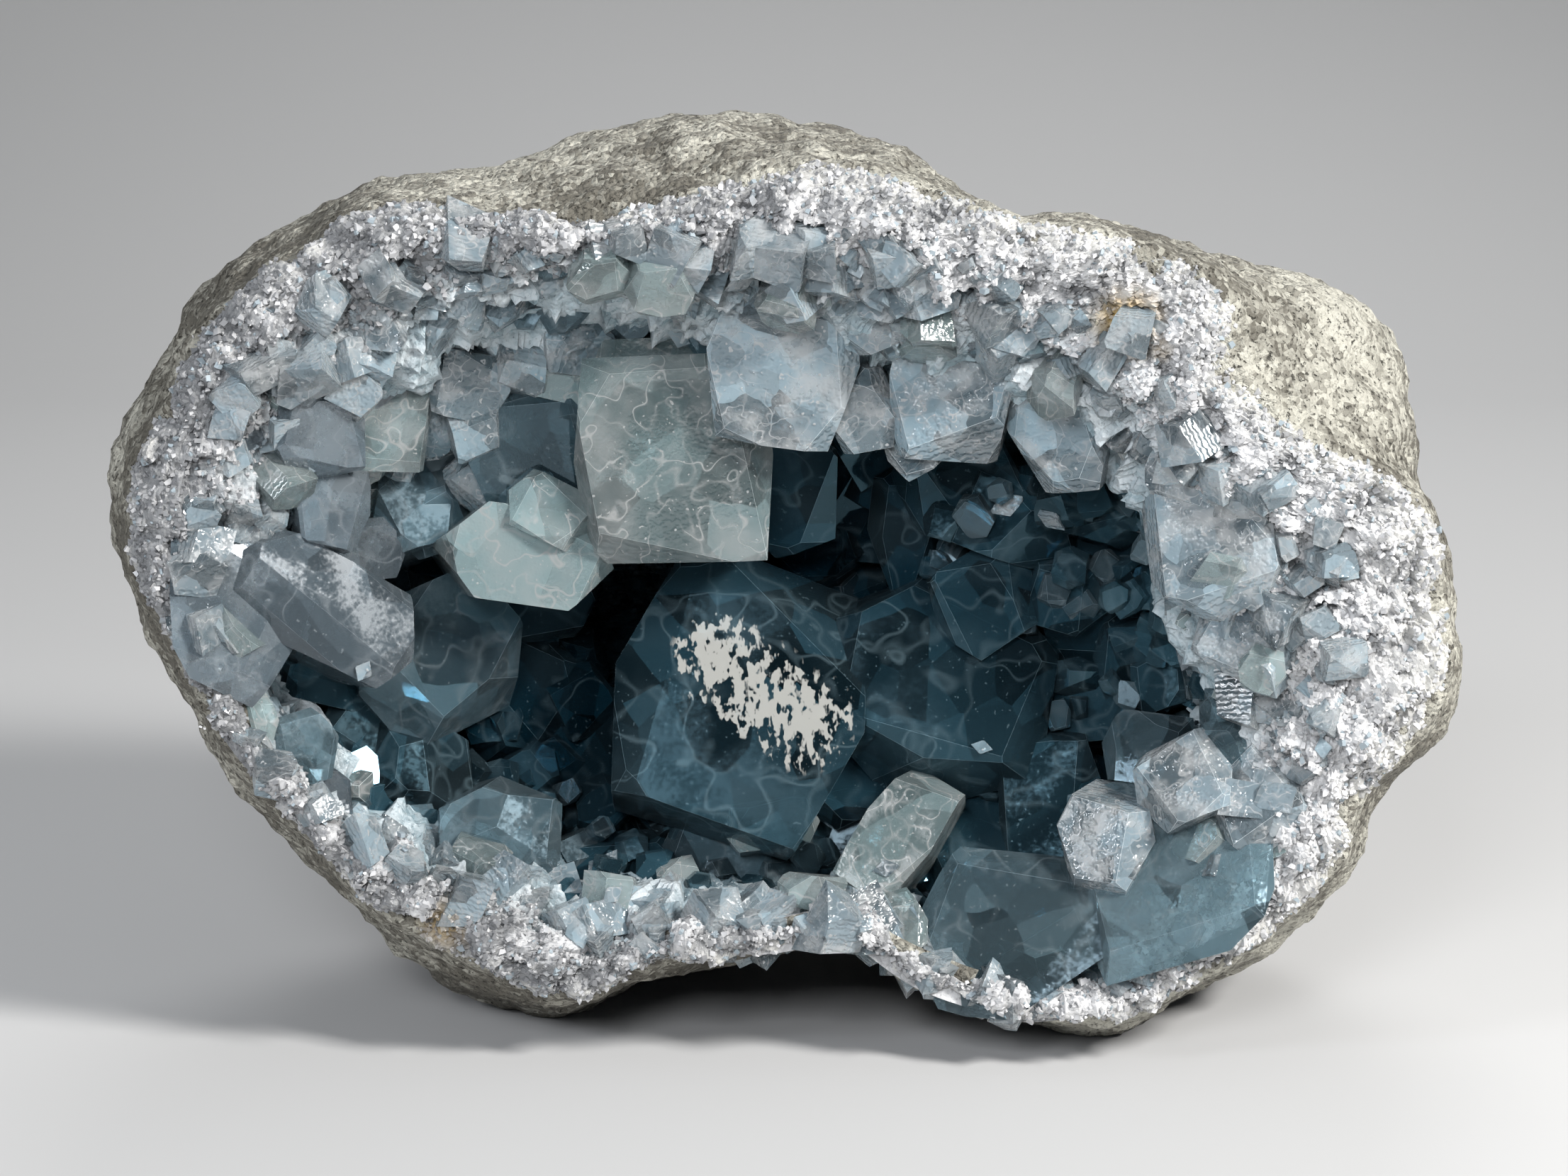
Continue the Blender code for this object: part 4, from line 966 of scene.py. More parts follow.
def buildVeils():
    # what shows in a celestite crystal: white veins where either of two noises passes its middle,
    # and in pits, milky clouds where a third noise is high, one tone for each warped cell as an
    # inner face, frosted patches, and a height of fine striations and shallow pits
    group, given, made = newGroup(
        "crystalVeils",
        {"Place": ("vector", None), "Vein Size": ("value", 9.0), "Facet Size": ("value", 9.0),
         "Stripe Size": ("value", 0.9), "Pit Size": ("value", 0.7)},
        {"Veins": "value", "Clouds": "value", "Facets": "value", "Height": "value",
         "Frost": "value"},
    )
    place = given.outputs["Place"]
    waves = maths(group, "DIVIDE", veilPattern["waves"], given.outputs["Vein Size"])
    bent = noise(group, place, waves, *veilPattern["veinNoise"])
    bands = node(group, "ShaderNodeSeparateColor", {0: bent.outputs["Color"]}).outputs
    lines = []
    for band, width in zip(bands[:2], veilPattern["widths"]):
        away = maths(group, "ABSOLUTE", maths(group, "SUBTRACT", band, 0.5))
        lines.append(ranged(group, away, 0.0, width, 1.0, 0.0))
    cloudNoise = bands[2]
    warp = {0: bent.outputs["Color"], 1: (veilPattern["warp"],) * 3}
    push = node(group, "ShaderNodeVectorMath", warp, operation="MULTIPLY")
    nearly = node(group, "ShaderNodeVectorMath", {0: place, 1: push.outputs[0]}, operation="ADD")
    perFacet = maths(group, "DIVIDE", 1.0, given.outputs["Facet Size"])
    inner = node(
        group, "ShaderNodeTexVoronoi", {"Vector": nearly.outputs[0], "Scale": perFacet}, feature="F1",
    )
    facets = node(group, "ShaderNodeSeparateColor", {0: inner.outputs["Color"]}).outputs[0]
    perPit = maths(group, "DIVIDE", 1.0, given.outputs["Pit Size"])
    pits = noise(group, place, perPit, *veilPattern["pitNoise"]).outputs["Fac"]
    second = maths(group, "MULTIPLY", lines[1], veilPattern["second"])
    veins = maths(group, "MAXIMUM", lines[0], second)
    veined = ranged(group, cloudNoise, *veilPattern["veined"])
    veins = maths(group, "MULTIPLY", veins, veined, clamp=True)
    veins = maths(group, "MAXIMUM", veins, ranged(group, pits, *veilPattern["pits"]))
    clouds = ranged(group, cloudNoise, *veilPattern["clouds"])
    along = node(group, "ShaderNodeSeparateXYZ", {0: place}).outputs["Z"]
    phase = maths(group, "DIVIDE", along, given.outputs["Stripe Size"])
    phase = maths(group, "ADD", phase, maths(group, "MULTIPLY", pits, veilPattern["bend"]))
    stripes = maths(group, "SINE", maths(group, "MULTIPLY", phase, 6.283))  # a wave in each
    stripes = maths(group, "MULTIPLY", stripes, veilPattern["stripes"])
    height = maths(group, "ADD", stripes, pits)
    frostPits = maths(group, "MULTIPLY", pits, veilPattern["frostPits"])
    frost = ranged(group, maths(group, "ADD", cloudNoise, frostPits), *veilPattern["frost"])
    results = {"Veins": veins, "Clouds": clouds, "Facets": facets, "Height": height, "Frost": frost}
    for title, value in results.items():
        group.links.new(value, made.inputs[title])
    return group


def buildGrit():
    # loose grainy mineral: cells of different brightness, dark specks between, and their height
    group, given, made = newGroup(
        "grainyMineral",
        {"Place": ("vector", None), "Grain": ("value", 1.4)},
        {"Cells": "value", "Specks": "value", "Blotches": "value", "Height": "value"},
    )
    place = given.outputs["Place"]
    perGrain = maths(group, "DIVIDE", 1.0, given.outputs["Grain"])
    cells = node(group, "ShaderNodeTexVoronoi", {"Vector": place, "Scale": perGrain}, feature="F1")
    bright = node(group, "ShaderNodeSeparateColor", {0: cells.outputs["Color"]}).outputs[0]
    noises = {}
    for title in ("blotches", "fine"):
        waves, detail, rough = gritPattern[title]
        waves = maths(group, "MULTIPLY", perGrain, waves)
        noises[title] = noise(group, place, waves, detail, rough).outputs["Fac"]
    specks = ranged(group, noises["fine"], *gritPattern["specks"])
    grains = maths(group, "MULTIPLY", cells.outputs["Distance"], gritPattern["grainHeight"])
    height = maths(group, "ADD", grains, noises["fine"])
    dips = maths(group, "MULTIPLY", specks, gritPattern["speckDepth"])
    height = maths(group, "SUBTRACT", height, dips)
    results = {"Cells": bright, "Specks": specks, "Blotches": noises["blotches"], "Height": height}
    for title, value in results.items():
        group.links.new(value, made.inputs[title])
    return group


print("shader groups")
veilGroup = buildVeils()
gritGroup = buildGrit()


def newMaterial(name):
    # an empty material with one shader on its surface
    material = bpy.data.materials.new(name)
    material.use_nodes = True
    tree = material.node_tree
    tree.nodes.clear()
    out = node(tree, "ShaderNodeOutputMaterial")
    shader = node(tree, "ShaderNodeBsdfPrincipled")
    tree.links.new(shader.outputs[0], out.inputs["Surface"])
    return material, tree, shader


def objectPlace(tree):
    # the piece's own place, in millimetres
    spot = node(tree, "ShaderNodeTexCoord").outputs["Object"]
    inputs = {0: spot, 1: (1000.0, 1000.0, 1000.0)}
    return node(tree, "ShaderNodeVectorMath", inputs, operation="MULTIPLY").outputs[0]


def attribute(tree, name, output="Fac"):
    # what the mesh says at each of its points
    return node(tree, "ShaderNodeAttribute", attribute_name=name).outputs[output]


def alongAxis(tree, place, axis):
    # how far along one axis a place is
    return node(tree, "ShaderNodeSeparateXYZ", {0: place}).outputs[axis]


def raised(tree, shader, height, strength, distance):
    # bends the shader's normal as that height would, with distance in metres
    inputs = {"Height": height, "Strength": strength, "Distance": distance}
    tree.links.new(node(tree, "ShaderNodeBump", inputs).outputs[0], shader.inputs["Normal"])


def nearSpot(tree, place, right, up, behind, reach):
    # 1 at a spot that is seen at (right, up), fading to 0 at reach
    centre = toPart(asSeen(right, up, behind)) * 1000
    gap = node(tree, "ShaderNodeVectorMath", {0: place, 1: tuple(centre)}, operation="DISTANCE")
    return ranged(tree, gap.outputs["Value"], 0.0, reach, 1.0, 0.0)


def grouped(tree, group, **inputs):
    # a node group placed in a material, with its inputs fed
    made = tree.nodes.new("ShaderNodeGroup")
    made.node_tree = group
    for key, value in inputs.items():
        feed(tree, value, made.inputs[key.replace("_", " ")])
    return made


glassLooks = {
    # body colour at the mouth and deep inside (darker inside: partly the crystals' own deeper blue,
    # partly painted shade of the hollow), the veils' colour and share, the clouds' share (milk), how
    # much the inner faces differ, roughness and what frost adds to it, transmission, bump, sizes in
    # millimetres, the absorption's colour and density (per metre), what a slanted view adds as a
    # painted sheen, the bevelled edges' painted highlight colour, and the tint of what it mirrors
    # (sheen)
    "pale": {
        "rim": (0.46, 0.60, 0.61, 1), "inside": (0.27, 0.44, 0.48, 1), "veil": (0.97, 1.0, 0.99, 1),
        "veilShare": 1.0, "milk": 0.45, "facets": 0.45, "rough": 0.05, "frost": 0.22,
        "through": 0.70, "bump": 0.16, "veinSize": 9.0, "facetSize": 10.0, "pitSize": 0.9,
        "dye": (0.50, 0.80, 0.84, 1), "density": 18.0, "slantSheen": 0.35,
        "edge": (0.90, 0.96, 0.96, 1), "sheen": (1.0, 1.0, 1.0, 1),
    },
    "frosted": {
        "rim": (0.40, 0.52, 0.59, 1), "inside": (0.24, 0.40, 0.48, 1), "veil": (0.96, 0.99, 1.0, 1),
        "veilShare": 1.0, "milk": 0.7, "facets": 0.6, "rough": 0.07, "frost": 0.25,
        "through": 0.62, "bump": 0.5, "veinSize": 5.0, "facetSize": 6.0, "pitSize": 1.1,
        "dye": None, "density": 0.0, "slantSheen": 0.35,
        "edge": (0.92, 0.97, 1.0, 1), "sheen": (1.0, 1.0, 1.0, 1),
    },
    "blue": {
        "rim": (0.24, 0.37, 0.43, 1), "inside": (0.04, 0.12, 0.17, 1), "veil": (0.66, 0.80, 0.86, 1),
        "veilShare": 0.55, "milk": 0.4, "facets": 0.6, "rough": 0.03, "frost": 0.2,
        "through": 0.78, "bump": 0.0, "veinSize": 13.0, "facetSize": 8.0, "pitSize": 0.8,
        "dye": (0.30, 0.60, 0.72, 1), "density": 28.0, "slantSheen": 0.35,
        "edge": (0.66, 0.82, 0.92, 1), "sheen": (0.58, 0.80, 0.94, 1),
    },
    # the deep glass's near-black body colours are partly painted shade of the hollow
    "deep": {
        "rim": (0.05, 0.115, 0.15, 1), "inside": (0.005, 0.031, 0.050, 1),
        "veil": (0.36, 0.54, 0.62, 1), "veilShare": 0.4, "milk": 0.25, "facets": 0.9,
        "rough": 0.015, "frost": 0.10, "through": 0.66, "bump": 0.0, "veinSize": 15.0,
        "facetSize": 8.0, "pitSize": 0.8, "dye": (0.10, 0.42, 0.54, 1), "density": 40.0,
        "slantSheen": 0.2, "edge": (0.50, 0.70, 0.80, 1), "sheen": (0.30, 0.58, 0.74, 1),
    },
    "smoky": {
        "rim": (0.24, 0.31, 0.36, 1), "inside": (0.11, 0.17, 0.21, 1), "veil": (0.62, 0.69, 0.74, 1),
        "veilShare": 0.6, "milk": 0.5, "facets": 0.45, "rough": 0.06, "frost": 0.25,
        "through": 0.7, "bump": 0.0, "veinSize": 12.0, "facetSize": 9.0, "pitSize": 0.8,
        "dye": None, "density": 0.0, "slantSheen": 0.35,
        "edge": (0.66, 0.70, 0.76, 1), "sheen": (0.9, 0.95, 1.0, 1),
    },
}
# a bevelled edge's painted highlight: share of its own colour, roughness over its crystal's,
# transmission
edgeHighlightLook = {"share": 0.85, "rough": 0.2, "through": 0.05}
glassHabit = {
    "depths": (-46.0, -14.0),  # the places along y between which the inside colour, partly painted shade, takes over
    "tones": (0.75, 1.2),  # the darkest crystal's and the brightest's
    "veilsInside": 0.7,  # what is left of the veils deep inside
    "grazing": 0.25,  # how soon a slanted view counts
    "bumpHeight": 0.0006, "ior": 1.62,
}
paintedHighlight = {
    # a painted highlight on the great block, standing in for the light mirrored off its striated
    # face: right, up and behind the focus of each spot, then the reach of each, the marks' size and
    # their colour
    "spots": ((-10, -11, 3), (-4, -16, 3), (3, -21, 3)),
    "reach": 9.0, "size": 1.5, "colour": (1.0, 1.0, 0.94, 1),
    # their width as a share of their height, the noise's detail and roughness, what being near a
    # spot adds, and the values between which the marks and their fading out rise
    "upright": 0.45, "noise": (2.0, 0.65), "near": 0.30, "marks": (0.60, 0.66), "fade": (0.0, 0.15),
}


def paintedHighlightMarks(tree, place):
    # painted highlight: short upright white marks, noise stretched upwards, where it is high and
    # near one of the spots
    near = 0.0
    for spot in paintedHighlight["spots"]:
        near = maths(tree, "MAXIMUM", nearSpot(tree, place, *spot, paintedHighlight["reach"]), near)
    stretched = {"Vector": place, "Scale": (1.0, 1.0, paintedHighlight["upright"])}
    slim = node(tree, "ShaderNodeMapping", stretched).outputs[0]
    marks = noise(tree, slim, 1 / paintedHighlight["size"], *paintedHighlight["noise"]).outputs["Fac"]
    marks = maths(tree, "ADD", marks, maths(tree, "MULTIPLY", near, paintedHighlight["near"]))
    fade = ranged(tree, near, *paintedHighlight["fade"])
    return maths(tree, "MULTIPLY", ranged(tree, marks, *paintedHighlight["marks"]), fade)


def glassMaterial(kind, edgeHighlight=False):
    # the body's colour from the mouth to deep inside, darker inside as partly its own deeper blue and
    # partly painted shade, times the crystal's and the inner face's tone, then veils and clouds over
    # it, and more of their colour where it is seen at a slant as a painted sheen
    look = glassLooks[kind]
    material, tree, shader = newMaterial("celestite_" + kind + ("_edge" if edgeHighlight else ""))
    place = objectPlace(tree)
    # how far in along y: the inside colour there is partly painted shade
    inside = ranged(tree, alongAxis(tree, place, "Y"), *glassHabit["depths"])
    veils = grouped(
        tree, veilGroup, Place=attribute(tree, "own", "Vector"), Vein_Size=look["veinSize"],
        Pit_Size=look["pitSize"], Facet_Size=look["facetSize"],
    )
    body = mixed(tree, inside, look["rim"], look["inside"])
    shade = ranged(tree, attribute(tree, "tone"), 0.0, 1.0, *glassHabit["tones"])
    least, most = 1 - look["facets"], 1 + look["facets"]
    faceShade = ranged(tree, veils.outputs["Facets"], 0.0, 1.0, least, most)
    shade = maths(tree, "MULTIPLY", shade, faceShade)
    grey = node(tree, "ShaderNodeCombineColor", {0: shade, 1: shade, 2: shade}).outputs[0]
    body = mixed(tree, 1.0, body, grey, "MULTIPLY")
    milk = maths(tree, "MULTIPLY", veils.outputs["Clouds"], look["milk"])
    share = maths(tree, "MAXIMUM", veils.outputs["Veins"], milk)
    least = glassHabit["veilsInside"] * look["veilShare"]
    fainter = ranged(tree, inside, 0.0, 1.0, look["veilShare"], least)
    share = maths(tree, "MULTIPLY", share, fainter)
    # painted sheen: more of the veils' pale colour where a face is seen at a slant
    slant = node(tree, "ShaderNodeLayerWeight", {"Blend": glassHabit["grazing"]}).outputs["Facing"]
    share = maths(tree, "ADD", share, maths(tree, "MULTIPLY", slant, look["slantSheen"]))
    colour = mixed(tree, maths(tree, "MINIMUM", share, 1.0), body, look["veil"])
    # the bevelled edges: mostly a pale painted highlight
    if edgeHighlight:
        colour = mixed(tree, edgeHighlightLook["share"], colour, look["edge"])
    elif kind == "deep":
        # the painted highlight marks on the great block
        colour = mixed(tree, paintedHighlightMarks(tree, place), colour, paintedHighlight["colour"])
    rough = maths(tree, "MULTIPLY", veils.outputs["Frost"], look["frost"])
    rough = maths(tree, "ADD", rough, look["rough"] + (edgeHighlightLook["rough"] if edgeHighlight else 0.0))
    tree.links.new(colour, shader.inputs["Base Color"])
    tree.links.new(rough, shader.inputs["Roughness"])
    if look["bump"]:
        raised(tree, shader, veils.outputs["Height"], look["bump"], glassHabit["bumpHeight"])
    through = edgeHighlightLook["through"] if edgeHighlight else look["through"]
    shader.inputs["Transmission Weight"].default_value = through
    shader.inputs["IOR"].default_value = glassHabit["ior"]
    shader.inputs["Specular Tint"].default_value = look["sheen"]
    if look["density"]:
        inputs = {"Color": look["dye"], "Density": look["density"]}
        dye = node(tree, "ShaderNodeVolumeAbsorption", inputs).outputs[0]
        tree.links.new(dye, tree.nodes["Material Output"].inputs["Volume"])
    return material


stains = {
    # right, up and behind the focus of each, and how far it reaches
    "spots": ((54, 42, -16, 7.0), (59, 39, -16, 4.0), (-52, -51, -14, 6.5)),
    "colour": (0.50, 0.33, 0.10, 1),
    "broken": (0.35, 0.6, 0.3, 1.4),  # two values of the blotches, and its share at each
}


def stained(tree, place, blotches, colour):
    # iron stain: strongest at its spots, broken up by the blotches
    rust = 0.0
    for spot in stains["spots"]:
        rust = maths(tree, "MAXIMUM", nearSpot(tree, place, *spot), rust)
    rust = maths(tree, "MULTIPLY", rust, ranged(tree, blotches, *stains["broken"]), clamp=True)
    return mixed(tree, rust, colour, stains["colour"])


skinLook = {
    "pale": (0.60, 0.585, 0.51, 1), "dark": (0.16, 0.15, 0.125, 1), "speck": (0.03, 0.028, 0.022, 1),
    "grain": 1.0, "coarseGrain": 4.0,
    # the tone, from dark at 0 to pale at 1: what the small and the coarse grains add to it, the
    # blotches between which it rises, and two places along x with what is added at each, darker to
    # the left as painted shade away from the light
    "cells": (-0.4, 0.5), "coarseCells": (-0.25, 0.25), "blotches": (0.36, 0.62),
    "across": (-100.0, 90.0, -0.35, 0.0),
    "specks": 0.9, "coarseSpecks": 0.7, "rough": (0.6, 0.95), "gloss": 0.3, "bump": (0.9, 0.0010),
}


def skinMaterial():
    # weathered rock: pale and dark grains, larger blotches, black pits, paler to the right as
    # painted light
    material, tree, shader = newMaterial("weatheredMatrix")
    place = objectPlace(tree)
    grit = grouped(tree, gritGroup, Place=place, Grain=skinLook["grain"]).outputs
    coarse = grouped(tree, gritGroup, Place=place, Grain=skinLook["coarseGrain"]).outputs
    tone = ranged(tree, grit["Cells"], 0.0, 1.0, *skinLook["cells"])
    tone = maths(tree, "ADD", tone, ranged(tree, coarse["Blotches"], *skinLook["blotches"]))
    tone = maths(tree, "ADD", tone, ranged(tree, coarse["Cells"], 0.0, 1.0, *skinLook["coarseCells"]))
    # painted shade: darker to the left, away from the light
    slope = ranged(tree, alongAxis(tree, place, "X"), *skinLook["across"])
    tone = maths(tree, "ADD", tone, slope, clamp=True)
    colour = mixed(tree, tone, skinLook["dark"], skinLook["pale"])
    pits = maths(tree, "MULTIPLY", grit["Specks"], skinLook["specks"])
    colour = mixed(tree, pits, colour, skinLook["speck"])
    hollows = maths(tree, "MULTIPLY", coarse["Specks"], skinLook["coarseSpecks"])
    colour = mixed(tree, hollows, colour, skinLook["dark"])
    colour = stained(tree, place, coarse["Blotches"], colour)
    tree.links.new(colour, shader.inputs["Base Color"])
    rough = ranged(tree, grit["Cells"], 0.0, 1.0, *skinLook["rough"])
    tree.links.new(rough, shader.inputs["Roughness"])
    shader.inputs["Specular IOR Level"].default_value = skinLook["gloss"]
    raised(tree, shader, grit["Height"], *skinLook["bump"])
    return material


# whiter and clearer patches on the rim: waves in a millimetre, detail and roughness, then two
# values of that noise with what is added to the tone at each
patches = {"noise": (0.16, 3.0, 0.6), "adds": (0.35, 0.65, -0.35, 0.35)}
massLook = {
    # the fused mass of small crystals: white grains, clear grey ones, and the same further in,
    # where they turn blue, and near-black where the crystals are deep, which is partly painted shade
    "white": (0.76, 0.76, 0.77, 1), "clear": (0.26, 0.266, 0.274, 1), "warm": (0.50, 0.48, 0.39, 1),
    "paleBlue": (0.30, 0.41, 0.46, 1), "paleWhite": (0.66, 0.72, 0.75, 1),
    "deep": (0.007, 0.024, 0.036, 1), "deepPale": (0.03, 0.08, 0.11, 1),
    "speck": (0.07, 0.075, 0.085, 1), "grain": 0.9,
    # the tone, from clear at 0 to white at 1: its middle, what faces, ridges (painted light on the
    # ridges and painted shade in the creases) and grains add to it, and two places along x with what
    # is added at each, whiter to the right as painted light
    "middle": 0.35, "facets": 0.45, "ridgeShading": 0.30, "cells": (-0.18, 0.18),
    "across": (-100.0, 80.0, -0.58, 0.50),
    # two stations with the warm colour's share at each, and the two between which it turns blue
    "warmth": (5.6, 6.9, 0.75, 0.0), "bluer": (7.2, 8.1), "bluerFacets": 0.3,
    "specks": 0.45, "rough": (0.12, 0.55), "ior": 1.6, "bump": (0.45, 0.0007),
}


def massMaterial():
    # faces, ridges and grains from clear to white (ridges lighter and creases darker as painted light
    # and shade, whiter to the right as painted light), warmer by the skin and bluer further in
    material, tree, shader = newMaterial("crystalMass")
    place = objectPlace(tree)
    grit = grouped(tree, gritGroup, Place=place, Grain=massLook["grain"]).outputs
    broad = noise(tree, place, *patches["noise"]).outputs["Fac"]
    station = attribute(tree, "station")
    facet = attribute(tree, "facetTone")
    # painted light and shade: ridges lighter, creases darker
    ridgeShade = maths(tree, "MULTIPLY", attribute(tree, "ridgeShade"), massLook["ridgeShading"])
    tone = maths(tree, "MULTIPLY", facet, massLook["facets"])
    tone = maths(tree, "ADD", maths(tree, "ADD", tone, massLook["middle"]), ridgeShade)
    tone = maths(tree, "ADD", tone, ranged(tree, broad, *patches["adds"]))
    tone = maths(tree, "ADD", tone, ranged(tree, grit["Cells"], 0.0, 1.0, *massLook["cells"]))
    # painted light: whiter to the right, greyer to the left
    slope = ranged(tree, alongAxis(tree, place, "X"), *massLook["across"])
    outer = maths(tree, "ADD", tone, slope, clamp=True)
    inner = maths(tree, "ADD", tone, 0.0, clamp=True)
    rim = mixed(tree, outer, massLook["clear"], massLook["white"])
    warmth = maths(tree, "MULTIPLY", ranged(tree, station, *massLook["warmth"]), outer)
    rim = mixed(tree, warmth, rim, massLook["warm"])
    pale = mixed(tree, inner, massLook["paleBlue"], massLook["paleWhite"])
    deep = mixed(tree, inner, massLook["deep"], massLook["deepPale"])
    further = maths(tree, "MULTIPLY", facet, massLook["bluerFacets"])
    bluer = ranged(tree, maths(tree, "ADD", station, further), *massLook["bluer"])
    # the pale stretch against the near-black deep one, which is partly painted shade
    colour = mixed(tree, attribute(tree, "pale"), deep, mixed(tree, bluer, rim, pale))
    pits = maths(tree, "MULTIPLY", grit["Specks"], massLook["specks"])
    colour = mixed(tree, pits, colour, massLook["speck"])
    colour = stained(tree, place, grit["Blotches"], colour)
    tree.links.new(colour, shader.inputs["Base Color"])
    rough = ranged(tree, tone, 0.0, 1.0, *massLook["rough"])
    tree.links.new(rough, shader.inputs["Roughness"])
    shader.inputs["IOR"].default_value = massLook["ior"]
    raised(tree, shader, grit["Height"], *massLook["bump"])
    return material


sugarLook = {
    "white": (0.76, 0.76, 0.77, 1), "grey": (0.24, 0.245, 0.255, 1), "blue": (0.34, 0.40, 0.44, 1),
    "across": (-100.0, 80.0, -0.3, 0.3),  # two places along x with what the tone gains at each: painted light, whiter to the right
    "bluer": (0.88, 0.9),  # the tones past which a grain is blue
    "rough": (0.12, 0.5), "ior": 1.55,
}


def sugarMaterial():
    # each grain from grey to white by its own tone, the patch that it lies in and its side, whiter to
    # the right as painted light
    material, tree, shader = newMaterial("rimSugar")
    place = objectPlace(tree)
    tone = attribute(tree, "tone")
    broad = noise(tree, place, *patches["noise"]).outputs["Fac"]
    lean = maths(tree, "ADD", ranged(tree, broad, *patches["adds"]), tone)
    # painted light: whiter to the right
    slope = ranged(tree, alongAxis(tree, place, "X"), *sugarLook["across"])
    lean = maths(tree, "ADD", lean, slope, clamp=True)
    colour = mixed(tree, lean, sugarLook["grey"], sugarLook["white"])
    colour = mixed(tree, ranged(tree, tone, *sugarLook["bluer"]), colour, sugarLook["blue"])
    colour = stained(tree, place, broad, colour)
    tree.links.new(colour, shader.inputs["Base Color"])
    rough = ranged(tree, tone, 0.0, 1.0, *sugarLook["rough"])
    tree.links.new(rough, shader.inputs["Roughness"])
    shader.inputs["IOR"].default_value = sugarLook["ior"]
    return material


print("materials")
glass = {kind: glassMaterial(kind) for kind in glassLooks}
edgeHighlightGlass = {kind: glassMaterial(kind, edgeHighlight=True) for kind in glassLooks}
skinMat = skinMaterial()
massMat = massMaterial()
sugarMat = sugarMaterial()


# the weathered skin: a closed sheet over the back, its edge tucked under the rim
skinMesh = {
    "around": 540, "rows": ((4, 84), (6.3, 84)), "backRows": 12, "thick": 3.5,
    "grainFade": 0.4,  # stations over which the grain starts at the back's pole
    "tuck": (5.75, 0.5, 2.2),  # from which station, over how many, and how far its edge goes under
}


def weatheredSkin():
    # the lumpy stone with grain, pushed under by the rim's edge; inside it a smooth sheet returns
    turn = np.linspace(0, 2 * np.pi, skinMesh["around"], endpoint=False)
    row, start = [np.zeros(1)], 0.0
    for end, count in skinMesh["rows"]:
        row.append(np.linspace(start, end, count + 1)[1:])
        start = end
    row = np.concatenate(row)
    outer, normal = baseStone(turn, row)
    grain = np.clip(row / skinMesh["grainFade"], 0, 1)
    rise = swelling(outer, stoneShape["skinGrain"]) * grain[:, None]
    tuckFrom, over, under = skinMesh["tuck"]
    rise -= (under * np.clip((row - tuckFrom) / over, 0, 1) ** 2)[:, None]
    outer = outer + normal * rise[..., None]
    backRow = np.linspace(row[-1], 0, skinMesh["backRows"])
    inner = stoneSurface(turn, backRow)
    backNormal = outward(inner[::-1])[::-1]
    backNormal[-1] = backNormal[-2].mean(axis=0)
    inner = inner - backNormal * skinMesh["thick"]
    grid = np.concatenate([outer, inner])
    grid[0], grid[-1] = grid[0].mean(axis=0), grid[-1].mean(axis=0)
    return standing(grid)


skinGrid = weatheredSkin()
skinPiece = putMesh(
    "weathered_skin", polePoints(skinGrid), gridFaces(*skinGrid.shape[:2]), skinMat, smooth=True,
)
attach(skinPiece, "root")
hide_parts("matrix_shell")
print(skinPiece.name, len(skinPiece.data.polygons), "faces")

# the broken rim: a closed ring from the skin's edge into the mouth
rimMesh = {
    "around": 900, "from": 5.6, "to": 8.6, "rows": 104, "backRows": 5, "thick": 4.0,
    "ridgeShade": 1.2,  # the relief that counts as a full ridge, for the painted light on ridges and shade in creases
    "relief": (5.4, 0.9, 0.3),  # from which station, over how many and from what share it grows
    "tuck": (6.0, 0.35, 1.3),  # up to which station, over how many, and how far its edge is low
    "tones": (0.5, 0.4, 0.2),  # how much each size of face counts
}


def brokenRim():
    # the lumpy stone swollen into rounded lumps and broken into flat faces of three sizes, low
    # under the skin's edge, and a smooth sheet that returns behind it
    turn = np.linspace(0, 2 * np.pi, rimMesh["around"], endpoint=False)
    row = np.linspace(rimMesh["from"], rimMesh["to"], rimMesh["rows"])
    face, normal = baseStone(turn, row)
    rise = swelling(face, stoneShape["rimGrain"]) + billows(face, stoneShape["rimBillows"])
    tones = []
    for share, size, salt in stoneShape["rimFacets"]:
        height, tone = brokenFacets(face, size, salt)
        rise += share * height
        tones.append(tone)
    # the relief's height, for painted light on the ridges and painted shade in the creases
    ridgeShade = np.clip(rise / rimMesh["ridgeShade"], -1, 1)
    growsFrom, over, least = rimMesh["relief"]
    rise *= np.clip((row - growsFrom) / over, least, 1)[:, None]
    tuckTo, over, low = rimMesh["tuck"]
    rise -= (low * np.clip((tuckTo - row) / over, 0, 1))[:, None]
    face = standing(face + normal * rise[..., None])
    backRow = np.linspace(rimMesh["to"], rimMesh["from"], rimMesh["backRows"])
    back, backNormal = baseStone(turn, backRow[::-1])
    back = (back - backNormal * rimMesh["thick"])[::-1]
    grid = np.concatenate([face, back])
    station = np.repeat(np.concatenate([row, backRow])[:, None], len(turn), axis=1)
    none = np.zeros(back.shape[:2])
    facetTone = sum(share * tone for share, tone in zip(rimMesh["tones"], tones))
    values = (
        ("station", station), ("ridgeShade", np.concatenate([ridgeShade, none])),
        ("facetTone", np.concatenate([facetTone, none])), ("pale", paleness(turn, station)),
    )
    return grid, values, (face, outward(face), row)


rimGrid, rimValues, rimFace = brokenRim()
rimPiece = putMesh(
    "broken_rim", rimGrid.reshape(-1, 3), ringFaces(*rimGrid.shape[:2]), massMat,
    values=rimValues,
)
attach(rimPiece, "root")
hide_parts("matrix_shell")
print(rimPiece.name, len(rimPiece.data.polygons), "faces")


# the lining behind the crystals
liningShape = {
    "around": 460, "rows": 190, "backRows": 8, "from": 7.9, "thick": 3.0, "paleThick": 5.0,
    "into": 1.0,  # how far into the stone its back lies
    "grows": 0.7,  # stations over which it reaches its thickness
    "facets": ((0.30, 9.0, 81), (0.36, 4.6, 83), (0.34, 2.3, 85)), "tones": (0.4, 0.35, 0.35),
    "ridgeShade": 2.5,
}


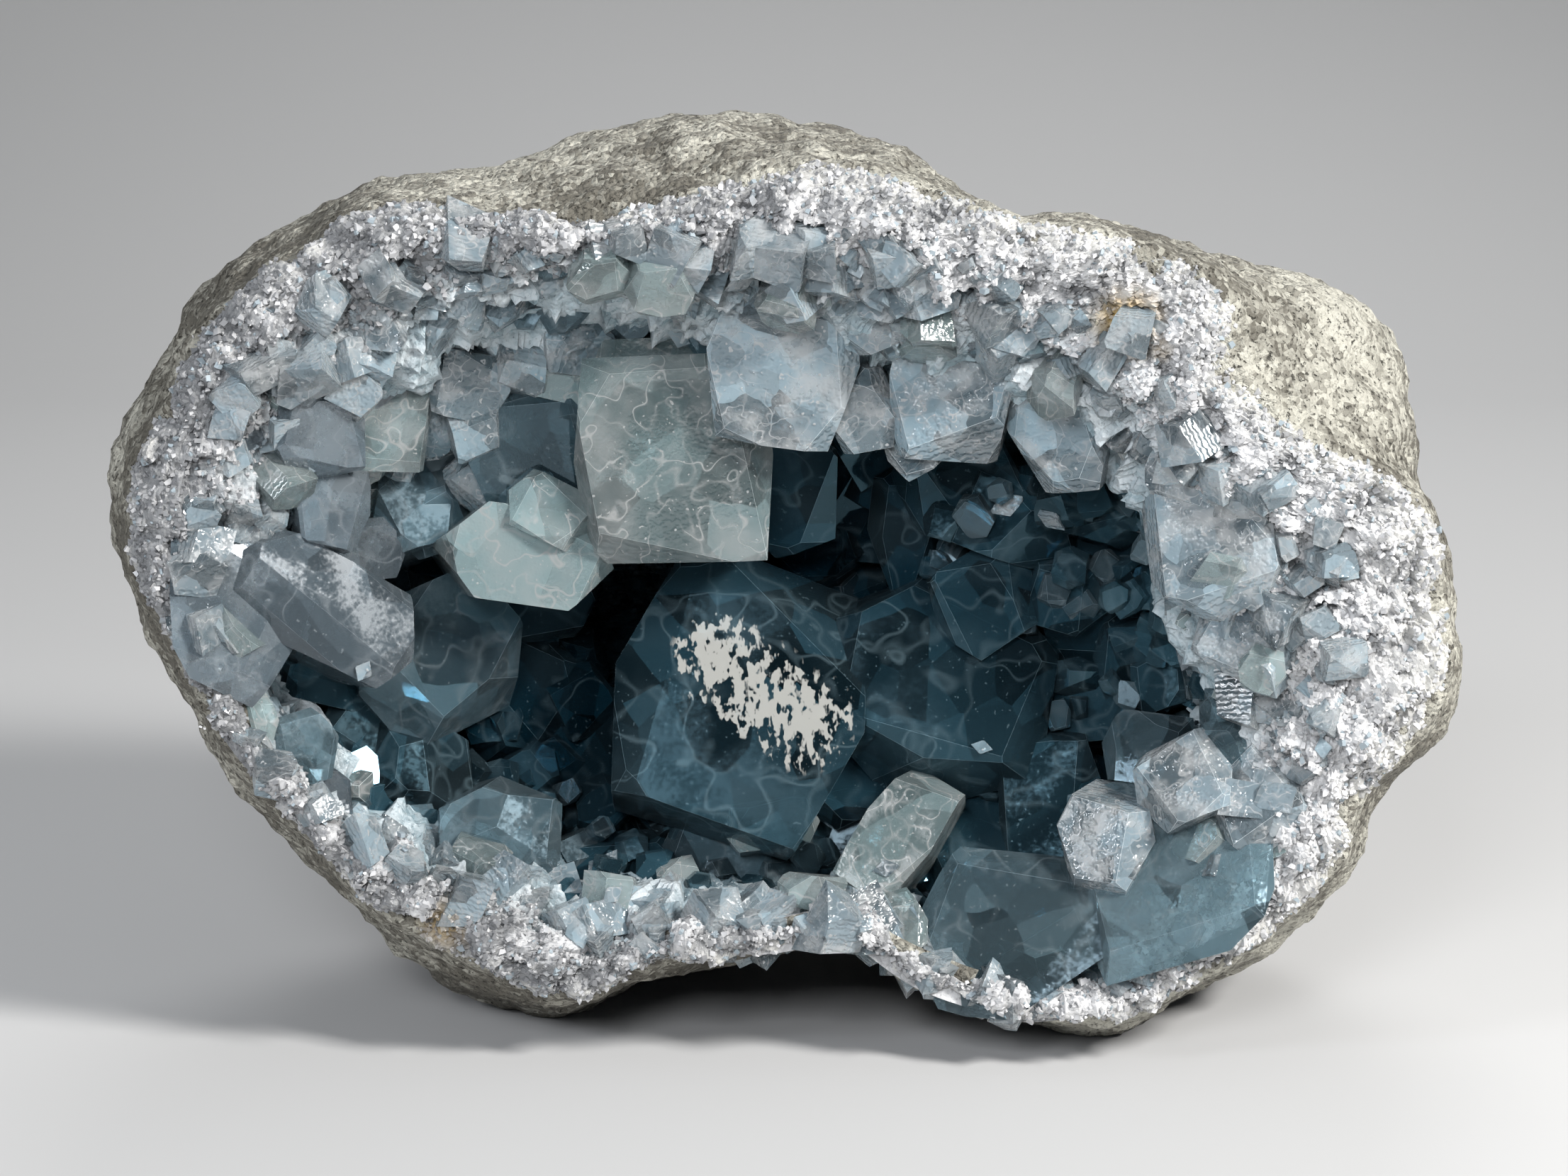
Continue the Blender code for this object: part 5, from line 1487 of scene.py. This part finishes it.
def liningCup():
    # two sheets parallel to the wall, joined round the mouth: one just inside the stone, one off
    # it by a thickness that grows from the rim, broken into flat faces of three sizes
    turn = np.linspace(0, 2 * np.pi, liningShape["around"], endpoint=False)
    row = np.linspace(liningShape["from"], endStation, liningShape["rows"])
    wall = stoneSurface(turn, row)
    normal = outward(wall)
    normal[-1] = normal[-2].mean(axis=0)
    pale = paleness(turn, np.repeat(row[:, None], len(turn), axis=1))
    thick = liningShape["thick"] + liningShape["paleThick"] * pale
    thick *= np.clip((row - liningShape["from"]) / liningShape["grows"], 0, 1)[:, None]
    rise, tones = thick.copy(), []
    for share, size, salt in liningShape["facets"]:
        height, tone = brokenFacets(wall, size, salt)
        rise += share * height
        tones.append(tone)
    inner = wall + normal * rise[..., None]
    backRow = np.linspace(endStation, liningShape["from"], liningShape["backRows"])
    outer = stoneSurface(turn, backRow[::-1])
    outerNormal = outward(outer)
    outerNormal[-1] = outerNormal[-2].mean(axis=0)
    outer = (outer - outerNormal * liningShape["into"])[::-1]
    outer[0], inner[-1] = outer[0].mean(axis=0), inner[-1].mean(axis=0)
    grid = np.concatenate([outer, inner])
    station = np.repeat(np.concatenate([backRow, row])[:, None], len(turn), axis=1)
    none = np.zeros(outer.shape[:2])
    facetTone = sum(share * tone for share, tone in zip(liningShape["tones"], tones))
    # the relief's height, for painted light on the ridges and painted shade in the creases
    ridgeShade = np.clip((rise - thick) / liningShape["ridgeShade"], -1, 1)
    values = (
        ("station", station), ("facetTone", np.concatenate([none, facetTone])),
        ("ridgeShade", np.concatenate([none, ridgeShade])), ("pale", paleness(turn, station)),
    )
    return grid, values


cup, cupValues = liningCup()
lining = putMesh(
    "crust_lining", polePoints(cup), gridFaces(*cup.shape[:2]), massMat,
    values=[(title, poleValues(numbers)) for title, numbers in cupValues],
)
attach(lining, "root")
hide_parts("crystal_crust")
print(lining.name, len(lining.data.polygons), "faces")

# the large crystals and the shards between them, a piece of each for every glass
large, small = heroSolids() + fillerSolids(), carpetSolids()
# the flakes are painted glints on the crystals
small += glintFlakeSolids(large + small)
for kind in glassLooks:
    for title, solids, edgeHighlight in (("_crystals", large, "edge"), ("_shards", small, "shardEdge")):
        points, faces, own, tone = joinSolids([solid for solid in solids if solid[0] == kind])
        piece = putMesh(kind + title, points, faces, glass[kind], own=own, values=(("tone", tone),))
        piece.data.materials.append(edgeHighlightGlass[kind])
        # the bevelled edges take the second material, a painted highlight
        edge = piece.modifiers.new("painted edge highlights", "BEVEL")
        edge.material = 1
        width, edge.segments = crystalHabit[edgeHighlight]
        edge.width = width * mm
        edge.limit_method = "ANGLE"
        edge.angle_limit = math.radians(crystalHabit["edgeAngle"])
        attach(piece, "root")
        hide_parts("crystal_crust")
        print(piece.name, len(piece.data.polygons), "faces")

# small crystals on the rim and the wall
druse = {
    "rim_druse": {
        "rows": (6.7, 8.7), "count": 620, "size": (1.6, 5.2), "glass": "frosted", "lift": -0.7,
        "spread": 0.4, "sink": 0.05, "seed": 3,
    },
    "wall_druse": {
        "rows": (8.7, 11.0), "count": 420, "size": (2.4, 6.0), "glass": "deep", "lift": 3.4,
        "spread": 0.45, "sink": 0.05, "seed": 4,
    },
}
chips = chipShapes(count=12, cuts=3, seed=8, flatness=0.85)
# the surface that they stand on
wallMesh = {"around": 240, "from": 7.0, "to": 11.9, "rows": 60}
wallTurn = np.linspace(0, 2 * np.pi, wallMesh["around"], endpoint=False)
wallRow = np.linspace(wallMesh["from"], wallMesh["to"], wallMesh["rows"])
wallGrid = baseStone(wallTurn, wallRow)[0]
wallFace = wallGrid, outward(wallGrid), wallRow
for title, plan in druse.items():
    piece = chipPiece(title, plan, wallFace, chips, glass[plan["glass"]])
    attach(piece, "root")
    print(piece.name, len(piece.data.polygons), "faces")

# the rim's sugar
sugar = {
    "rows": (5.8, 7.7), "count": 15500, "size": (0.22, 0.55), "lift": 0.0, "spread": 0.6,
    "sink": -0.15, "seed": 6,
}
grains = chipShapes(count=12, cuts=0, seed=21, flatness=0.85)
piece = chipPiece("rim_sugar", sugar, rimFace, grains, sugarMat)
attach(piece, "root")
print(piece.name, len(piece.data.polygons), "faces")


# floor, light and camera
studio = {
    "floor": (0.62, 0.62, 0.62, 1), "floorRough": 0.8,
    # metres: how far the floor goes, where its bend starts, the bend's radius, and how far under
    # the feet it lies
    "reach": 4.0, "bendFrom": 0.6, "bend": 0.8, "under": 0.0002,
    "world": (0.80, 0.86, 0.92, 1), "worldStrength": 0.14,
    "bounces": {
        "max_bounces": 4, "transmission_bounces": 4, "diffuse_bounces": 1, "glossy_bounces": 1,
    },
    "lights": (  # name, place in metres, aimed at, width, power, colour
        ("key", (0.55, -0.45, 0.55), (0.0, 0.0, 0.08), 0.16, 9.0, (1.0, 0.98, 0.95)),
        ("front", (-0.15, -0.85, 0.50), (0.0, 0.0, 0.08), 0.25, 3.9, (0.95, 0.97, 1.0)),
        ("left", (-0.60, -0.45, 0.40), (0.0, 0.0, 0.07), 0.14, 1.3, (0.92, 0.95, 1.0)),
        ("back", (0.1, 0.70, 0.70), (0.0, 0.0, 0.08), 0.5, 3.0, (1.0, 1.0, 1.0)),
    ),
    "plain": ("front",),  # lights that no face mirrors
}
floorMat, _, floorShader = newMaterial("paleFloor")
floorShader.inputs["Base Color"].default_value = studio["floor"]
floorShader.inputs["Roughness"].default_value = studio["floorRough"]
# the floor: flat to some way behind the stone, then a quarter round up to a wall
sweep = np.linspace(0, np.pi / 2, 24)
bendFrom, bend, reach = studio["bendFrom"], studio["bend"], studio["reach"]
curve = zip(bendFrom + bend * np.sin(sweep), bend - bend * np.cos(sweep))
profile = [(-reach, 0.0), *curve, (bendFrom + bend, reach)]
floorMesh = bpy.data.meshes.new("floor")
floorMesh.from_pydata(
    [(x, y, z - studio["under"]) for y, z in profile for x in (-reach, reach)], [],
    [(2 * i, 2 * i + 1, 2 * i + 3, 2 * i + 2) for i in range(len(profile) - 1)],
)
floorMesh.polygons.foreach_set("use_smooth", np.full(len(floorMesh.polygons), True))
floorMesh.materials.append(floorMat)
floor = bpy.data.objects.new("floor", floorMesh)
bpy.context.scene.collection.objects.link(floor)

world = bpy.data.worlds.new("softStudio")
bpy.context.scene.world = world
world.use_nodes = True
world.node_tree.nodes["Background"].inputs["Color"].default_value = studio["world"]
world.node_tree.nodes["Background"].inputs["Strength"].default_value = studio["worldStrength"]
for name, place, aim, width, power, colour in studio["lights"]:
    lamp = bpy.data.lights.new(name, "AREA")
    lamp.size, lamp.energy, lamp.color = width, power, colour
    holder = bpy.data.objects.new(name, lamp)
    holder.location = place
    holder.rotation_euler = (Vector(aim) - Vector(place)).to_track_quat("-Z", "Y").to_euler()
    holder.visible_glossy = name not in studio["plain"]
    bpy.context.scene.collection.objects.link(holder)

camera = bpy.data.cameras.new("camera")
camera.sensor_width = sight["film"]
camera.lens = sight["film"] * sight["distance"] / sight["widthSeen"]
camera.clip_start = 0.01
cameraHolder = bpy.data.objects.new("camera", camera)
cameraHolder.location = toPart(eye)
cameraHolder.rotation_euler = (math.radians(90) - drop, 0, 0)
bpy.context.scene.collection.objects.link(cameraHolder)
bpy.context.scene.camera = cameraHolder
bpy.context.scene.view_settings.view_transform = "Standard"
bpy.context.scene.cycles.use_light_tree = False
for kind, most in studio["bounces"].items():
    setattr(bpy.context.scene.cycles, kind, most)
